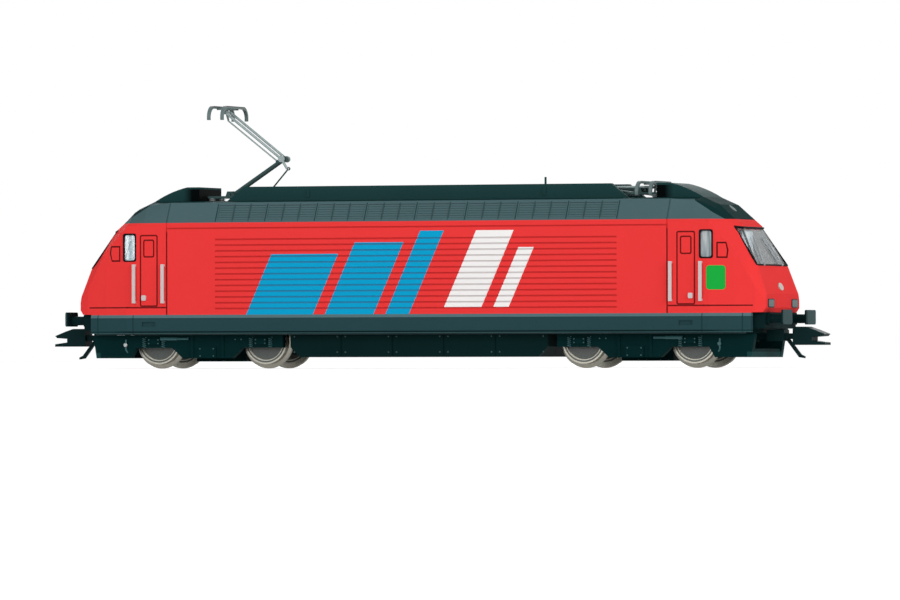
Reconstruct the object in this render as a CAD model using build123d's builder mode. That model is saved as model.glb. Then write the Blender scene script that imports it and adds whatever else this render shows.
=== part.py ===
"""Model electric locomotive on four axles, two pantographs. Millimetres, +X forward, +Z up.

Heights are above the rail top, which lies one flange depth above the floor.
"""

import os

from build123d import *

os.makedirs("parts", exist_ok=True)

# Overall sizes
LENGTH = 212.6
WIDTH = 34.4
WALL = 1.2
FLANGE_DEPTH = 1.2

# Heights of the body shell, each from the one before
SILL_BOTTOM = 8.5
SILL_HEIGHT = 5.25
WALL_HEIGHT = 25.6
SHOULDER_RISE = 5.65
DECK_RISE = 0.5
COWL_HEIGHT = 3.95

# Lengths inwards from the buffer faces and from the nose
BUFFER_REACH = 5.0
CAB_LENGTH = 27.4
BOGIE_SETBACK = 38.1
PANTO_SETBACK = 40.8

# Running gear
WHEELBASE = 32.2
WHEEL_DIAMETER = 12.6
BACK_TO_BACK = 14.3
WHEEL_WIDTH = 2.8
AXLE_RADIUS = 1.0
BEARING_PLAY = 0.08

# Pantograph arms
LOWER_ARM = 17.9
UPPER_ARM = 21.6

# Shared widths of grooves and gaps
LINE_WIDTH = 0.42
LINE_DEPTH = 0.25
GAP = 0.1

HALF = WIDTH / 2
SILL_TOP = SILL_BOTTOM + SILL_HEIGHT
WALL_TOP = SILL_TOP + WALL_HEIGHT
SHOULDER_TOP = WALL_TOP + SHOULDER_RISE
DECK = SHOULDER_TOP + DECK_RISE
COWL_TOP = DECK + COWL_HEIGHT
NOSE = LENGTH / 2 - BUFFER_REACH
CAB_START = NOSE - CAB_LENGTH
PIVOT = NOSE - BOGIE_SETBACK
AXLE_HEIGHT = WHEEL_DIAMETER / 2
AXLES = (PIVOT - WHEELBASE / 2, PIVOT + WHEELBASE / 2)
WHEEL_FACE = BACK_TO_BACK / 2 + WHEEL_WIDTH


def level(height, end=1):
    """Plan plane at a height, local x pointing towards the given end."""
    return Plane(origin=(0, 0, FLANGE_DEPTH + height), x_dir=(end, 0, 0), z_dir=(0, 0, 1))


def side(offset=0, end=1):
    """Upright lengthwise plane, local x towards the end, local y the height, extruding to the left."""
    return Plane(origin=(0, end * offset, FLANGE_DEPTH), x_dir=(end, 0, 0), z_dir=(0, -end, 0))


def across(distance, end=1):
    """Upright crosswise plane at a distance from the middle, local y the height, extruding outwards."""
    return Plane(origin=(end * distance, 0, FLANGE_DEPTH), x_dir=(0, end, 0), z_dir=(end, 0, 0))


# Body shell: one hollow casting with cabs, sills and roof shoulders.
# Stations of the cab in shares: of the cab length back from the nose, of the half width inwards
# at wall, shoulder and band, of the height above the sill downwards at wall, shoulder and band.
CAB_STATIONS = (
    (1.0, 0.0, 0.174, 0.535, 0.0, 0.0, 0.0),
    (0.734, 0.0, 0.267, 0.535, 0.01, 0.019, 0.0),
    (0.562, 0.0, 0.331, 0.535, 0.033, 0.084, 0.065),
    (0.318, 0.047, 0.360, 0.517, 0.307, 0.288, 0.249),
    (0.099, 0.105, 0.174, 0.250, 0.717, 0.662, 0.605),
    (0.0, 0.174, 0.192, 0.215, 0.865, 0.861, 0.835),
)
SILL_PROUD = 0.25
SILL_BEVEL = 0.8
INNER_SHIFT = 1.3
NOSE_GAP = 0.15
NOSE_BOTTOM = SILL_TOP + NOSE_GAP
SILL_SETBACK = 3.8
SILL_END = NOSE - SILL_SETBACK
CHIN_DEPTH = 1.0
CHIN_HEIGHT = 1.4


def place(index):
    """Distance of a cab station from the middle."""
    return NOSE - CAB_STATIONS[index][0] * CAB_LENGTH


def corners(index):
    """Half widths and heights of wall top, shoulder top and band edge at a cab station."""
    _, wall_in, shoulder_in, band_in, wall_drop, shoulder_drop, band_drop = CAB_STATIONS[index]
    return (
        (HALF * (1 - wall_in), WALL_TOP - wall_drop * (WALL_TOP - SILL_TOP)),
        (HALF * (1 - shoulder_in), SHOULDER_TOP - shoulder_drop * (SHOULDER_TOP - SILL_TOP)),
        (HALF * (1 - band_in), DECK - band_drop * (DECK - SILL_TOP)),
    )


def outer_section(index):
    """Outline of the shell at one station, with the proud bevelled sill."""
    wall, shoulder, band = corners(index)
    right = [
        (wall[0] + SILL_PROUD, SILL_BOTTOM),
        (wall[0] + SILL_PROUD, SILL_TOP - SILL_BEVEL),
        (wall[0], SILL_TOP),
        wall,
        shoulder,
        band,
    ]
    return right + [(-y, z) for y, z in reversed(right)]


def inner_section(index):
    """Hollow of the shell at one station."""
    wall, shoulder, band = corners(index)
    right = [
        (wall[0] - WALL, 0),
        (wall[0] - WALL, wall[1] - WALL / 2),
        (shoulder[0] - WALL, shoulder[1] - WALL),
        (band[0] - WALL / 2, band[1] - WALL),
    ]
    return right + [(-y, z) for y, z in reversed(right)]


DECK_END = place(1)
BAND_HALF = corners(0)[2][0]
SHOULDER_IN = HALF - corners(0)[1][0]

# Ribs, grilles and seams of the side walls
RIB_COUNT = 13
RIB_DROP = 4.7
RIB_PITCH = 1.6
RIB_MARGIN = 14.6
RIB_WIDTH = 0.45
RIB_LENGTH = 2 * (CAB_START - RIB_MARGIN)
GRILLE_GROUPS = 8
GRILLE_BAYS = 3
GROUP_PITCH = RIB_LENGTH / GRILLE_GROUPS
GROUP_GAP = 0.5
BAY_GAP = 0.4
BAY_PITCH = (GROUP_PITCH - GROUP_GAP) / GRILLE_BAYS
GRILLE_MARGIN = 1.1
TOP_SEAM_DROP = 1.55
LOW_SEAM_RISE = 2.05
SILL_SEAM_RISE = 0.45
SILL_SEAM_BACK = 6.3

# Doors, windows and mirrors of the cabs, back from the nose and down from the wall top
DOOR_BACK = 22.0
DOOR_WIDTH = 5.45
DOOR_HEIGHT = 20.1
DOOR_DROP = 3.25
DOOR_RADIUS = 0.6
PANE_WIDTH = 3.4
PANE_HEIGHT = 5.05
PANE_DROP = 4.55
STEP_WIDTH = 4.0
STEP_HEIGHT = 1.2
STEP_DEPTH = 0.5
WINDOW_BACK = 16.2
WINDOW_WIDTH = 3.6
WINDOW_HEIGHT = 7.5
WINDOW_DROP = 3.05
WINDOW_RADIUS = 0.7
MIRROR_BACK = 11.6
MIRROR_WIDTH = 3.4
MIRROR_HEIGHT = 4.4
MIRROR_DROP = 8.5
MIRROR_CUT = 0.35
SCREEN_MARGIN = 0.6
WRAP_SHARE = 0.8
WRAP_OVERLAP = 0.15

# Lamps
LAMP_WIDTH = 5.0
LAMP_HEIGHT = 2.4
LAMP_RISE = 2.5
LAMP_SPREAD = 0.58
LAMP_DEPTH = 1.2
LAMP_PROUD = 0.2
LAMP_RADIUS = 0.6
TOP_LAMP_RADIUS = 1.3
TOP_LAMP_DEPTH = 0.8
TOP_LAMP_RUN = 1.5

door_x = NOSE - DOOR_BACK
door_z = WALL_TOP - DOOR_DROP - DOOR_HEIGHT / 2
pane_z = WALL_TOP - PANE_DROP - PANE_HEIGHT / 2
window_x = NOSE - WINDOW_BACK
window_z = WALL_TOP - WINDOW_DROP - WINDOW_HEIGHT / 2
mirror_x = NOSE - MIRROR_BACK
mirror_z = WALL_TOP - MIRROR_DROP
lamp_y = LAMP_SPREAD * HALF
lamp_z = NOSE_BOTTOM + LAMP_RISE
brow, screen_high, screen_low, nose_top = (Vector(place(i), 0, corners(i)[2][1]) for i in (2, 3, 4, 5))
screen_length = (screen_high - screen_low).length
screen_share = SCREEN_MARGIN / screen_length
screen_spread = corners(4)[2][0] - corners(3)[2][0]
screen_foot = corners(4)[2][0] - screen_share * screen_spread
screen_head = corners(3)[2][0] + screen_share * screen_spread
screen_half = screen_length / 2 - SCREEN_MARGIN
SCREEN_POINTS = (
    (-screen_foot, -screen_half),
    (screen_foot, -screen_half),
    (screen_head, screen_half),
    (-screen_head, screen_half),
)


def slope_plane(low, high, run, end, sink=0.0):
    """Plane on a slope of the cab front, a run up from its lower edge, sunk below the outer face."""
    rise = (high - low).normalized()
    x_dir = Vector(0, end, 0)
    normal = x_dir.cross(Vector(end * rise.X, 0, rise.Z))
    point = low + rise * run
    middle = Vector(end * point.X, 0, FLANGE_DEPTH + point.Z) - normal * sink
    return Plane(origin=middle, x_dir=x_dir, z_dir=normal)


def screen_plane(end, sink=0.0):
    """Plane of the windscreen."""
    return slope_plane(screen_low, screen_high, screen_length / 2, end, sink)


def edge_point(index, corner, share, end, turn):
    """Point of a lengthwise edge of the cab, at a share of the way from one station to the next."""
    first, last = corners(index)[corner], corners(index + 1)[corner]
    run = place(index) + share * (place(index + 1) - place(index))
    width = first[0] + share * (last[0] - first[0])
    height = first[1] + share * (last[1] - first[1])
    return Vector(end * run, turn * width, FLANGE_DEPTH + height)


def wrap_corners(end, turn):
    """Head, foot and rear corner of the glass where it wraps round the screen's edge."""
    head = edge_point(3, 2, screen_share, end, turn)
    foot = edge_point(3, 2, 1 - screen_share, end, turn)
    return head, foot, edge_point(2, 1, WRAP_SHARE, end, turn)


def wrap_plane(end, turn, sink=0.0):
    """Plane of the wrapped glass, local x down the screen's edge, sunk below the outer face."""
    head, foot, rear = wrap_corners(end, turn)
    normal = (foot - head).cross(rear - head).normalized() * turn * end
    return Plane(origin=head - normal * sink, x_dir=foot - head, z_dir=normal)


def wrap_points(end, turn):
    """Outline of the wrapped glass, reaching a little over the screen's edge."""
    head, foot, rear = (wrap_plane(end, turn).to_local_coords(point) for point in wrap_corners(end, turn))
    over = -turn * end * WRAP_OVERLAP
    return ((head.X, over), (foot.X, over), (rear.X, rear.Y))


def top_lamp_plane(end):
    """Plane of the roof slope at the upper lamp."""
    return slope_plane(screen_high, brow, (brow - screen_high).length - TOP_LAMP_RUN, end)


def cheek_plane(end, turn):
    """Plane of the cab wall where it draws in, local x outwards along the body, local y up."""
    outer, inner = Vector(place(3), corners(3)[0][0], 0), Vector(place(2), corners(2)[0][0], 0)
    along = (outer - inner).normalized()
    x_dir = Vector(end * along.X, turn * along.Y, 0)
    normal = Vector(-end * along.Y, turn * along.X, 0)
    point = inner + along * ((mirror_x - place(2)) / along.X)
    middle = Vector(end * point.X, turn * point.Y, FLANGE_DEPTH + mirror_z)
    return Plane(origin=middle, x_dir=x_dir, z_dir=normal)


with BuildPart() as shell:
    with BuildSketch(across(0)):
        with BuildLine():
            Polyline(*outer_section(0), close=True)
        make_face()
    extrude(amount=CAB_START, both=True)
    for end in (1, -1):
        for index in range(len(CAB_STATIONS)):
            with BuildSketch(across(place(index), end)):
                with BuildLine():
                    Polyline(*outer_section(index), close=True)
                make_face()
        loft(ruled=True)
    with BuildSketch(across(0)):
        with BuildLine():
            Polyline(*inner_section(0), close=True)
        make_face()
    extrude(amount=CAB_START, both=True, mode=Mode.SUBTRACT)
    for end in (1, -1):
        for index in range(len(CAB_STATIONS)):
            shift = WALL * INNER_SHIFT if index > 2 else 0
            with BuildSketch(across(place(index) - shift, end)):
                with BuildLine():
                    Polyline(*inner_section(index), close=True)
                make_face()
        loft(ruled=True, mode=Mode.SUBTRACT)
        with BuildSketch(side(0, end)):
            with Locations(((SILL_END + LENGTH) / 2, NOSE_BOTTOM / 2)):
                Rectangle(LENGTH - SILL_END, NOSE_BOTTOM)
            Polygon(
                (NOSE - CHIN_DEPTH, NOSE_BOTTOM - GAP),
                (NOSE + GAP, NOSE_BOTTOM - GAP),
                (NOSE + GAP, NOSE_BOTTOM + CHIN_HEIGHT),
                align=None,
            )
        extrude(amount=WIDTH, both=True, mode=Mode.SUBTRACT)
        with BuildSketch(screen_plane(end)):
            Polygon(*SCREEN_POINTS, align=None)
        extrude(amount=2.5 * WALL, both=True, mode=Mode.SUBTRACT)
        for turn in (1, -1):
            with BuildSketch(wrap_plane(end, turn)):
                Polygon(*wrap_points(end, turn), align=None)
            extrude(amount=2.5 * WALL, both=True, mode=Mode.SUBTRACT)
        with BuildSketch(side(0, end)):
            with Locations((window_x, window_z)):
                RectangleRounded(WINDOW_WIDTH, WINDOW_HEIGHT, WINDOW_RADIUS)
        extrude(amount=WIDTH, both=True, mode=Mode.SUBTRACT)
        with BuildSketch(across(NOSE, end)):
            with Locations((lamp_y, lamp_z), (-lamp_y, lamp_z)):
                RectangleRounded(LAMP_WIDTH, LAMP_HEIGHT, LAMP_RADIUS)
        extrude(amount=-LAMP_DEPTH, mode=Mode.SUBTRACT)
        with BuildSketch(top_lamp_plane(end)):
            Circle(TOP_LAMP_RADIUS)
        extrude(amount=-TOP_LAMP_DEPTH, mode=Mode.SUBTRACT)
        for turn in (1, -1):
            with BuildSketch(cheek_plane(end, turn)):
                for grow, mode in ((0, Mode.ADD), (LINE_WIDTH, Mode.SUBTRACT)):
                    half_width = MIRROR_WIDTH / 2 - grow
                    half_height = MIRROR_HEIGHT / 2 - grow
                    Polygon(
                        (-half_width, -half_height),
                        (half_width * (1 - MIRROR_CUT / 2), -half_height),
                        (half_width, 0),
                        (half_width * (1 - MIRROR_CUT), half_height),
                        (-half_width, half_height),
                        align=None,
                        mode=mode,
                    )
            extrude(amount=-LINE_DEPTH, mode=Mode.SUBTRACT)
    for turn in (1, -1):
        with BuildSketch(side(HALF, turn)):
            with Locations((0, WALL_TOP - RIB_DROP - RIB_PITCH * (RIB_COUNT - 1) / 2)):
                with GridLocations(0, RIB_PITCH, 1, RIB_COUNT):
                    Rectangle(RIB_LENGTH, RIB_WIDTH)
            with Locations((0, WALL_TOP - TOP_SEAM_DROP)):
                Rectangle(2 * CAB_START, LINE_WIDTH)
            for end in (1, -1):
                with Locations((end * CAB_START, (SILL_TOP + WALL_TOP) / 2)):
                    Rectangle(LINE_WIDTH, WALL_TOP - SILL_TOP)
                with Locations((end * door_x, door_z)):
                    RectangleRounded(DOOR_WIDTH, DOOR_HEIGHT, DOOR_RADIUS)
                    RectangleRounded(
                        DOOR_WIDTH - 2 * LINE_WIDTH,
                        DOOR_HEIGHT - 2 * LINE_WIDTH,
                        DOOR_RADIUS / 2,
                        mode=Mode.SUBTRACT,
                    )
                with Locations((end * door_x, pane_z)):
                    RectangleRounded(PANE_WIDTH, PANE_HEIGHT, DOOR_RADIUS)
                    RectangleRounded(
                        PANE_WIDTH - 2 * LINE_WIDTH,
                        PANE_HEIGHT - 2 * LINE_WIDTH,
                        DOOR_RADIUS / 2,
                        mode=Mode.SUBTRACT,
                    )
                with Locations((end * (CAB_START + place(2)) / 2, SILL_TOP + LOW_SEAM_RISE)):
                    Rectangle(place(2) - CAB_START, LINE_WIDTH)
        extrude(amount=LINE_DEPTH, mode=Mode.SUBTRACT)
        with BuildSketch(side(HALF + SILL_PROUD, turn)):
            with Locations((0, SILL_BOTTOM + SILL_SEAM_RISE)):
                Rectangle(2 * (NOSE - SILL_SEAM_BACK), LINE_WIDTH)
            for end in (1, -1):
                with Locations((end * door_x, (SILL_BOTTOM + SILL_TOP) / 2)):
                    Rectangle(STEP_WIDTH, STEP_HEIGHT)
        extrude(amount=STEP_DEPTH, mode=Mode.SUBTRACT)
        shoulder_out = Vector(0, -turn * SHOULDER_RISE, SHOULDER_IN).normalized()
        face_mid = (0, -turn * (HALF - SHOULDER_IN / 2), FLANGE_DEPTH + (WALL_TOP + SHOULDER_TOP) / 2)
        with BuildSketch(Plane(origin=face_mid, x_dir=(turn, 0, 0), z_dir=shoulder_out)):
            with GridLocations(GROUP_PITCH, 0, GRILLE_GROUPS, 1):
                with GridLocations(BAY_PITCH, 0, GRILLE_BAYS, 1):
                    Rectangle(BAY_PITCH - BAY_GAP, SHOULDER_RISE - GRILLE_MARGIN)
            with Locations((CAB_START, 0), (-CAB_START, 0)):
                Rectangle(LINE_WIDTH, WIDTH)
        extrude(amount=-LINE_DEPTH, mode=Mode.SUBTRACT)
shell.part.label = "body_shell"
export_step(shell.part, "parts/body_shell.step")

# Glazing: a windscreen in each cab that wraps round its edges, a pane in each side window
GLASS = 0.8
GLASS_SINK = 0.2
PANE_SINK = 0.45
for end, name in ((1, "front"), (-1, "rear")):
    with BuildPart() as screen:
        with BuildSketch(screen_plane(end, GLASS_SINK)):
            Polygon(*SCREEN_POINTS, align=None)
        extrude(amount=-GLASS)
        for turn in (1, -1):
            with BuildSketch(wrap_plane(end, turn, GLASS_SINK)):
                Polygon(*wrap_points(end, turn), align=None)
            extrude(amount=-GLASS)
    screen.part.label = "windscreen_" + name
    export_step(screen.part, "parts/windscreen_" + name + ".step")

with BuildPart() as panes:
    for end in (1, -1):
        for turn in (1, -1):
            with BuildSketch(side(end * turn * (HALF - PANE_SINK), end)):
                with Locations((window_x, window_z)):
                    RectangleRounded(WINDOW_WIDTH, WINDOW_HEIGHT, WINDOW_RADIUS)
            extrude(amount=turn * end * GLASS)
panes.part.label = "side_windows"
export_step(panes.part, "parts/side_windows.step")

# Lamps: two in the nose, one in the roof slope
for end, name in ((1, "front"), (-1, "rear")):
    with BuildPart() as lamps:
        with BuildSketch(across(NOSE - LAMP_DEPTH, end)):
            with Locations((lamp_y, lamp_z), (-lamp_y, lamp_z)):
                RectangleRounded(LAMP_WIDTH, LAMP_HEIGHT, LAMP_RADIUS)
        extrude(amount=LAMP_DEPTH + LAMP_PROUD)
        with BuildSketch(top_lamp_plane(end)):
            Circle(TOP_LAMP_RADIUS)
        extrude(amount=-TOP_LAMP_DEPTH)
    lamps.part.label = "headlamps_" + name
    export_step(lamps.part, "parts/headlamps_" + name + ".step")

# Nose plates: a plain oval plate on each nose
PLATE_WIDTH = 3.5
PLATE_HEIGHT = 2.2
PLATE_THICK = 0.3
PLATE_RUN = 2.0
with BuildPart() as plates:
    for end in (1, -1):
        with BuildSketch(slope_plane(nose_top, screen_low, PLATE_RUN, end)):
            Ellipse(PLATE_WIDTH / 2, PLATE_HEIGHT / 2)
        extrude(amount=PLATE_THICK)
plates.part.label = "nose_plates"
export_step(plates.part, "parts/nose_plates.step")

# Door handrails: eight upright bars on short feet, and four door handles
RAIL_RISE = 3.25
RAIL_HEIGHT = 10.85
RAIL_STANDOFF = 0.9
RAIL_DEPTH = 0.5
RAIL_FOOT = 0.6
RAIL_WIDTH = 0.9
RAIL_BACKS = (CAB_LENGTH - 1.05, DOOR_BACK - DOOR_WIDTH / 2 - 1.6)
HANDLE_WIDTH = 1.3
HANDLE_HEIGHT = 1.5
HANDLE_PROUD = 0.5
rail_z = SILL_TOP + RAIL_RISE + RAIL_HEIGHT / 2
rail_slot = RAIL_STANDOFF - RAIL_DEPTH
handle_x = door_x + DOOR_WIDTH / 2 - HANDLE_WIDTH
handle_z = SILL_TOP + RAIL_RISE + HANDLE_HEIGHT
with BuildPart() as handrails:
    for end in (1, -1):
        for turn in (1, -1):
            outwards = end * turn
            for rail_back in RAIL_BACKS:
                with BuildSketch(across(NOSE - rail_back - RAIL_WIDTH / 2, end)):
                    with Locations((outwards * (HALF + RAIL_STANDOFF / 2), rail_z)):
                        Rectangle(RAIL_STANDOFF, RAIL_HEIGHT)
                    with Locations((outwards * (HALF + rail_slot / 2), rail_z)):
                        Rectangle(rail_slot, RAIL_HEIGHT - 2 * RAIL_FOOT, mode=Mode.SUBTRACT)
                extrude(amount=RAIL_WIDTH)
            with BuildSketch(side(end * turn * HALF, end)):
                with Locations((handle_x, handle_z)):
                    RectangleRounded(HANDLE_WIDTH, HANDLE_HEIGHT, HANDLE_WIDTH / 4)
            extrude(amount=-turn * end * HANDLE_PROUD)
handrails.part.label = "door_handrails"
export_step(handrails.part, "parts/door_handrails.step")

# Sizes of the folding pantographs that the roof pieces keep clear of
STRIP_GAP = 4.0
STRIP_WIDTH = 0.9
TAIL = 3.2
PANTO_PIVOT = NOSE - PANTO_SETBACK
FOLD_LENGTH = UPPER_ARM - LOWER_ARM + STRIP_GAP / 2 + STRIP_WIDTH

# Roof cowlings beside the roof gear, with an aerial stub and side brackets
COWL_SETBACK = 1.1
COWL_RAKE = 5.0
COWL_THICK = 1.6
BRACKET_SETBACK = 25.5
BRACKET_WIDTH = 0.9
BRACKET_HEIGHT = 2.2
BRACKET_PROUD = 0.3
AERIAL_RADIUS = 0.3
AERIAL_HEIGHT = 1.9
cowl_base = PANTO_PIVOT - COWL_SETBACK
cowl_head = cowl_base - COWL_RAKE
bracket_x = PANTO_PIVOT - BRACKET_SETBACK
with BuildPart() as cowlings:
    for turn in (1, -1):
        with BuildSketch(side(BAND_HALF, turn)):
            Polygon(
                (-cowl_base, DECK),
                (cowl_base, DECK),
                (cowl_head, COWL_TOP),
                (-cowl_head, COWL_TOP),
                align=None,
            )
        extrude(amount=COWL_THICK)
        with BuildSketch(side(BAND_HALF, turn)):
            with Locations((bracket_x, DECK + COWL_HEIGHT / 2), (-bracket_x, DECK + COWL_HEIGHT / 2)):
                Rectangle(BRACKET_WIDTH, BRACKET_HEIGHT)
        extrude(amount=-BRACKET_PROUD)
    with BuildSketch(level(COWL_TOP)):
        with Locations((bracket_x, COWL_THICK / 2 - BAND_HALF)):
            Circle(AERIAL_RADIUS)
    extrude(amount=AERIAL_HEIGHT)
cowlings.part.label = "roof_cowlings"
export_step(cowlings.part, "parts/roof_cowlings.step")

# Raised caps over the cabs
CAP_CLEAR = 0.7
CAP_FLAT = 3.7
CAP_BULGE = 0.62
cap_rear = PANTO_PIVOT + FOLD_LENGTH + CAP_CLEAR
cap_flat = cap_rear + CAP_FLAT
for end, name in ((1, "front"), (-1, "rear")):
    with BuildPart() as cap:
        with BuildSketch(side(0, end)):
            with BuildLine():
                Line((DECK_END, DECK), (cap_rear, DECK))
                Line((cap_rear, DECK), (cap_rear, COWL_TOP))
                Line((cap_rear, COWL_TOP), (cap_flat, COWL_TOP))
                cap_middle = ((cap_flat + DECK_END) / 2, DECK + CAP_BULGE * COWL_HEIGHT)
                ThreePointArc((cap_flat, COWL_TOP), cap_middle, (DECK_END, DECK))
            make_face()
        extrude(amount=BAND_HALF, both=True)
    cap.part.label = "cab_roof_cap_" + name
    export_step(cap.part, "parts/cab_roof_cap_" + name + ".step")

# Roof gear between the cowlings: low hatch covers, bus bar on insulators and the main switch
HATCH_COUNT = 3
HATCH_GAP = 2.0
HATCH_THICK = 0.7
HATCH_SHARE = 0.48
KNEE_CLEAR = 2.0
BUS_SHARE = 0.62
BUS_RADIUS = 0.3
BUS_RISE = 1.3
POST_RADIUS = 0.55
POST_COUNT = 5
SWITCH_LENGTH = 6.0
SWITCH_WIDTH = 4.0
SWITCH_HEIGHT = 1.0
COLUMN_RADIUS = 0.8
COLUMN_HEIGHT = 1.6
gear_half = PANTO_PIVOT - LOWER_ARM - TAIL - KNEE_CLEAR
hatch_pitch = 2 * gear_half / HATCH_COUNT
hatch_half = HATCH_SHARE * BAND_HALF
bus_y = BUS_SHARE * BAND_HALF + POST_RADIUS / 4
with BuildPart() as hatches:
    with BuildSketch(level(DECK)):
        with GridLocations(hatch_pitch, 0, HATCH_COUNT, 1):
            RectangleRounded(hatch_pitch - HATCH_GAP, 2 * hatch_half, HATCH_GAP / 2)
    extrude(amount=HATCH_THICK)
hatches.part.label = "roof_hatches"
export_step(hatches.part, "parts/roof_hatches.step")

with BuildPart() as posts:
    with BuildSketch(level(DECK)):
        with Locations((0, bus_y)):
            with GridLocations(2 * gear_half / POST_COUNT, 0, POST_COUNT, 1):
                Circle(POST_RADIUS)
    extrude(amount=BUS_RISE - BUS_RADIUS)
posts.part.label = "roof_insulators"
export_step(posts.part, "parts/roof_insulators.step")

with BuildPart() as bus:
    with BuildSketch(level(DECK + BUS_RISE - BUS_RADIUS)):
        with Locations((0, bus_y)):
            Rectangle(2 * gear_half, 2 * BUS_RADIUS)
    extrude(amount=2 * BUS_RADIUS)
bus.part.label = "roof_bus_bar"
export_step(bus.part, "parts/roof_bus_bar.step")

with BuildPart() as switch:
    with BuildSketch(level(DECK + HATCH_THICK)):
        Rectangle(SWITCH_LENGTH, SWITCH_WIDTH)
    extrude(amount=SWITCH_HEIGHT)
    with BuildSketch(level(DECK + HATCH_THICK + SWITCH_HEIGHT)):
        with GridLocations(SWITCH_LENGTH / 2, 0, 2, 1):
            Circle(COLUMN_RADIUS)
    extrude(amount=COLUMN_HEIGHT)
    with BuildSketch(level(DECK + HATCH_THICK + SWITCH_HEIGHT + COLUMN_HEIGHT)):
        Rectangle(SWITCH_LENGTH, COLUMN_RADIUS)
    extrude(amount=BUS_RADIUS)
switch.part.label = "roof_main_switch"
export_step(switch.part, "parts/roof_main_switch.step")

# Chassis: floor plate, transformer tank, king pin bores and coupler posts
FLOOR_CLEAR = 0.7
FLOOR_THICK = 2.0
FLOOR_SETBACK = 4.8
FLOOR_MARGIN = 2.5
TANK_BOTTOM = 1.9
TANK_CLEAR = 1.6
TANK_INSET = 3.2
TANK_CHAMFER = 2.8
TANK_PANELS = 5
KING_RADIUS = 2.0
BUFFER_DROP = 1.7
BEAM_DROP = 2.7
COUPLER_DROP = 1.3
COUPLER_THICK = 1.6
COUPLER_SETBACK = 8.3
PIN_RADIUS = 0.8
POST_LENGTH = 6.6
POST_WIDTH = 20.0
CAP_THICK = 0.6
floor_bottom = WHEEL_DIAMETER + FLANGE_DEPTH + FLOOR_CLEAR
floor_top = floor_bottom + FLOOR_THICK
floor_end = NOSE - FLOOR_SETBACK
buffer_z = NOSE_BOTTOM - BUFFER_DROP
beam_bottom = buffer_z - BEAM_DROP
coupler_top = beam_bottom - COUPLER_DROP
coupler_bottom = coupler_top - COUPLER_THICK
coupler_x = NOSE - COUPLER_SETBACK
tank_half = AXLES[0] - AXLE_HEIGHT - FLANGE_DEPTH - TANK_CLEAR
with BuildPart() as chassis:
    with BuildSketch(level(floor_bottom)):
        Rectangle(2 * CAB_START, WIDTH - 2 * WALL)
        Rectangle(2 * floor_end, WIDTH - 2 * WALL - 2 * FLOOR_MARGIN)
        with Locations((PIVOT, 0), (-PIVOT, 0)):
            Circle(KING_RADIUS + BEARING_PLAY, mode=Mode.SUBTRACT)
    extrude(amount=floor_top - floor_bottom)
    with BuildSketch(side(0)):
        Polygon(
            (-tank_half, floor_bottom),
            (tank_half, floor_bottom),
            (tank_half, TANK_BOTTOM + TANK_CHAMFER),
            (tank_half - TANK_CHAMFER, TANK_BOTTOM),
            (-tank_half + TANK_CHAMFER, TANK_BOTTOM),
            (-tank_half, TANK_BOTTOM + TANK_CHAMFER),
            align=None,
        )
    extrude(amount=HALF - TANK_INSET, both=True)
    for turn in (1, -1):
        with BuildSketch(side(HALF - TANK_INSET, turn)):
            with Locations((0, (floor_bottom + TANK_BOTTOM) / 2)):
                with GridLocations(2 * tank_half / TANK_PANELS, 0, TANK_PANELS - 1, 1):
                    Rectangle(LINE_WIDTH, floor_bottom)
        extrude(amount=LINE_DEPTH, mode=Mode.SUBTRACT)
    with BuildSketch(level(floor_bottom)):
        with Locations((coupler_x, 0), (-coupler_x, 0)):
            Rectangle(POST_LENGTH, POST_WIDTH)
    extrude(amount=coupler_top + GAP - floor_bottom)
    with BuildSketch(level(coupler_top + GAP)):
        with Locations((coupler_x, 0), (-coupler_x, 0)):
            Circle(PIN_RADIUS)
    extrude(amount=-COUPLER_THICK - 2 * GAP)
    with BuildSketch(level(coupler_bottom - GAP)):
        with Locations((coupler_x, 0), (-coupler_x, 0)):
            Circle(PIN_RADIUS + CAP_THICK)
    extrude(amount=-CAP_THICK)
chassis.part.label = "chassis"
export_step(chassis.part, "parts/chassis.step")

MOTOR_LENGTH = 48.0
MOTOR_WIDTH = 20.0
MOTOR_HEIGHT = 18.0
with BuildPart() as motor:
    with BuildSketch(level(floor_top)):
        Rectangle(MOTOR_LENGTH, MOTOR_WIDTH)
    extrude(amount=MOTOR_HEIGHT)
motor.part.label = "motor_block"
export_step(motor.part, "parts/motor_block.step")

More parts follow.
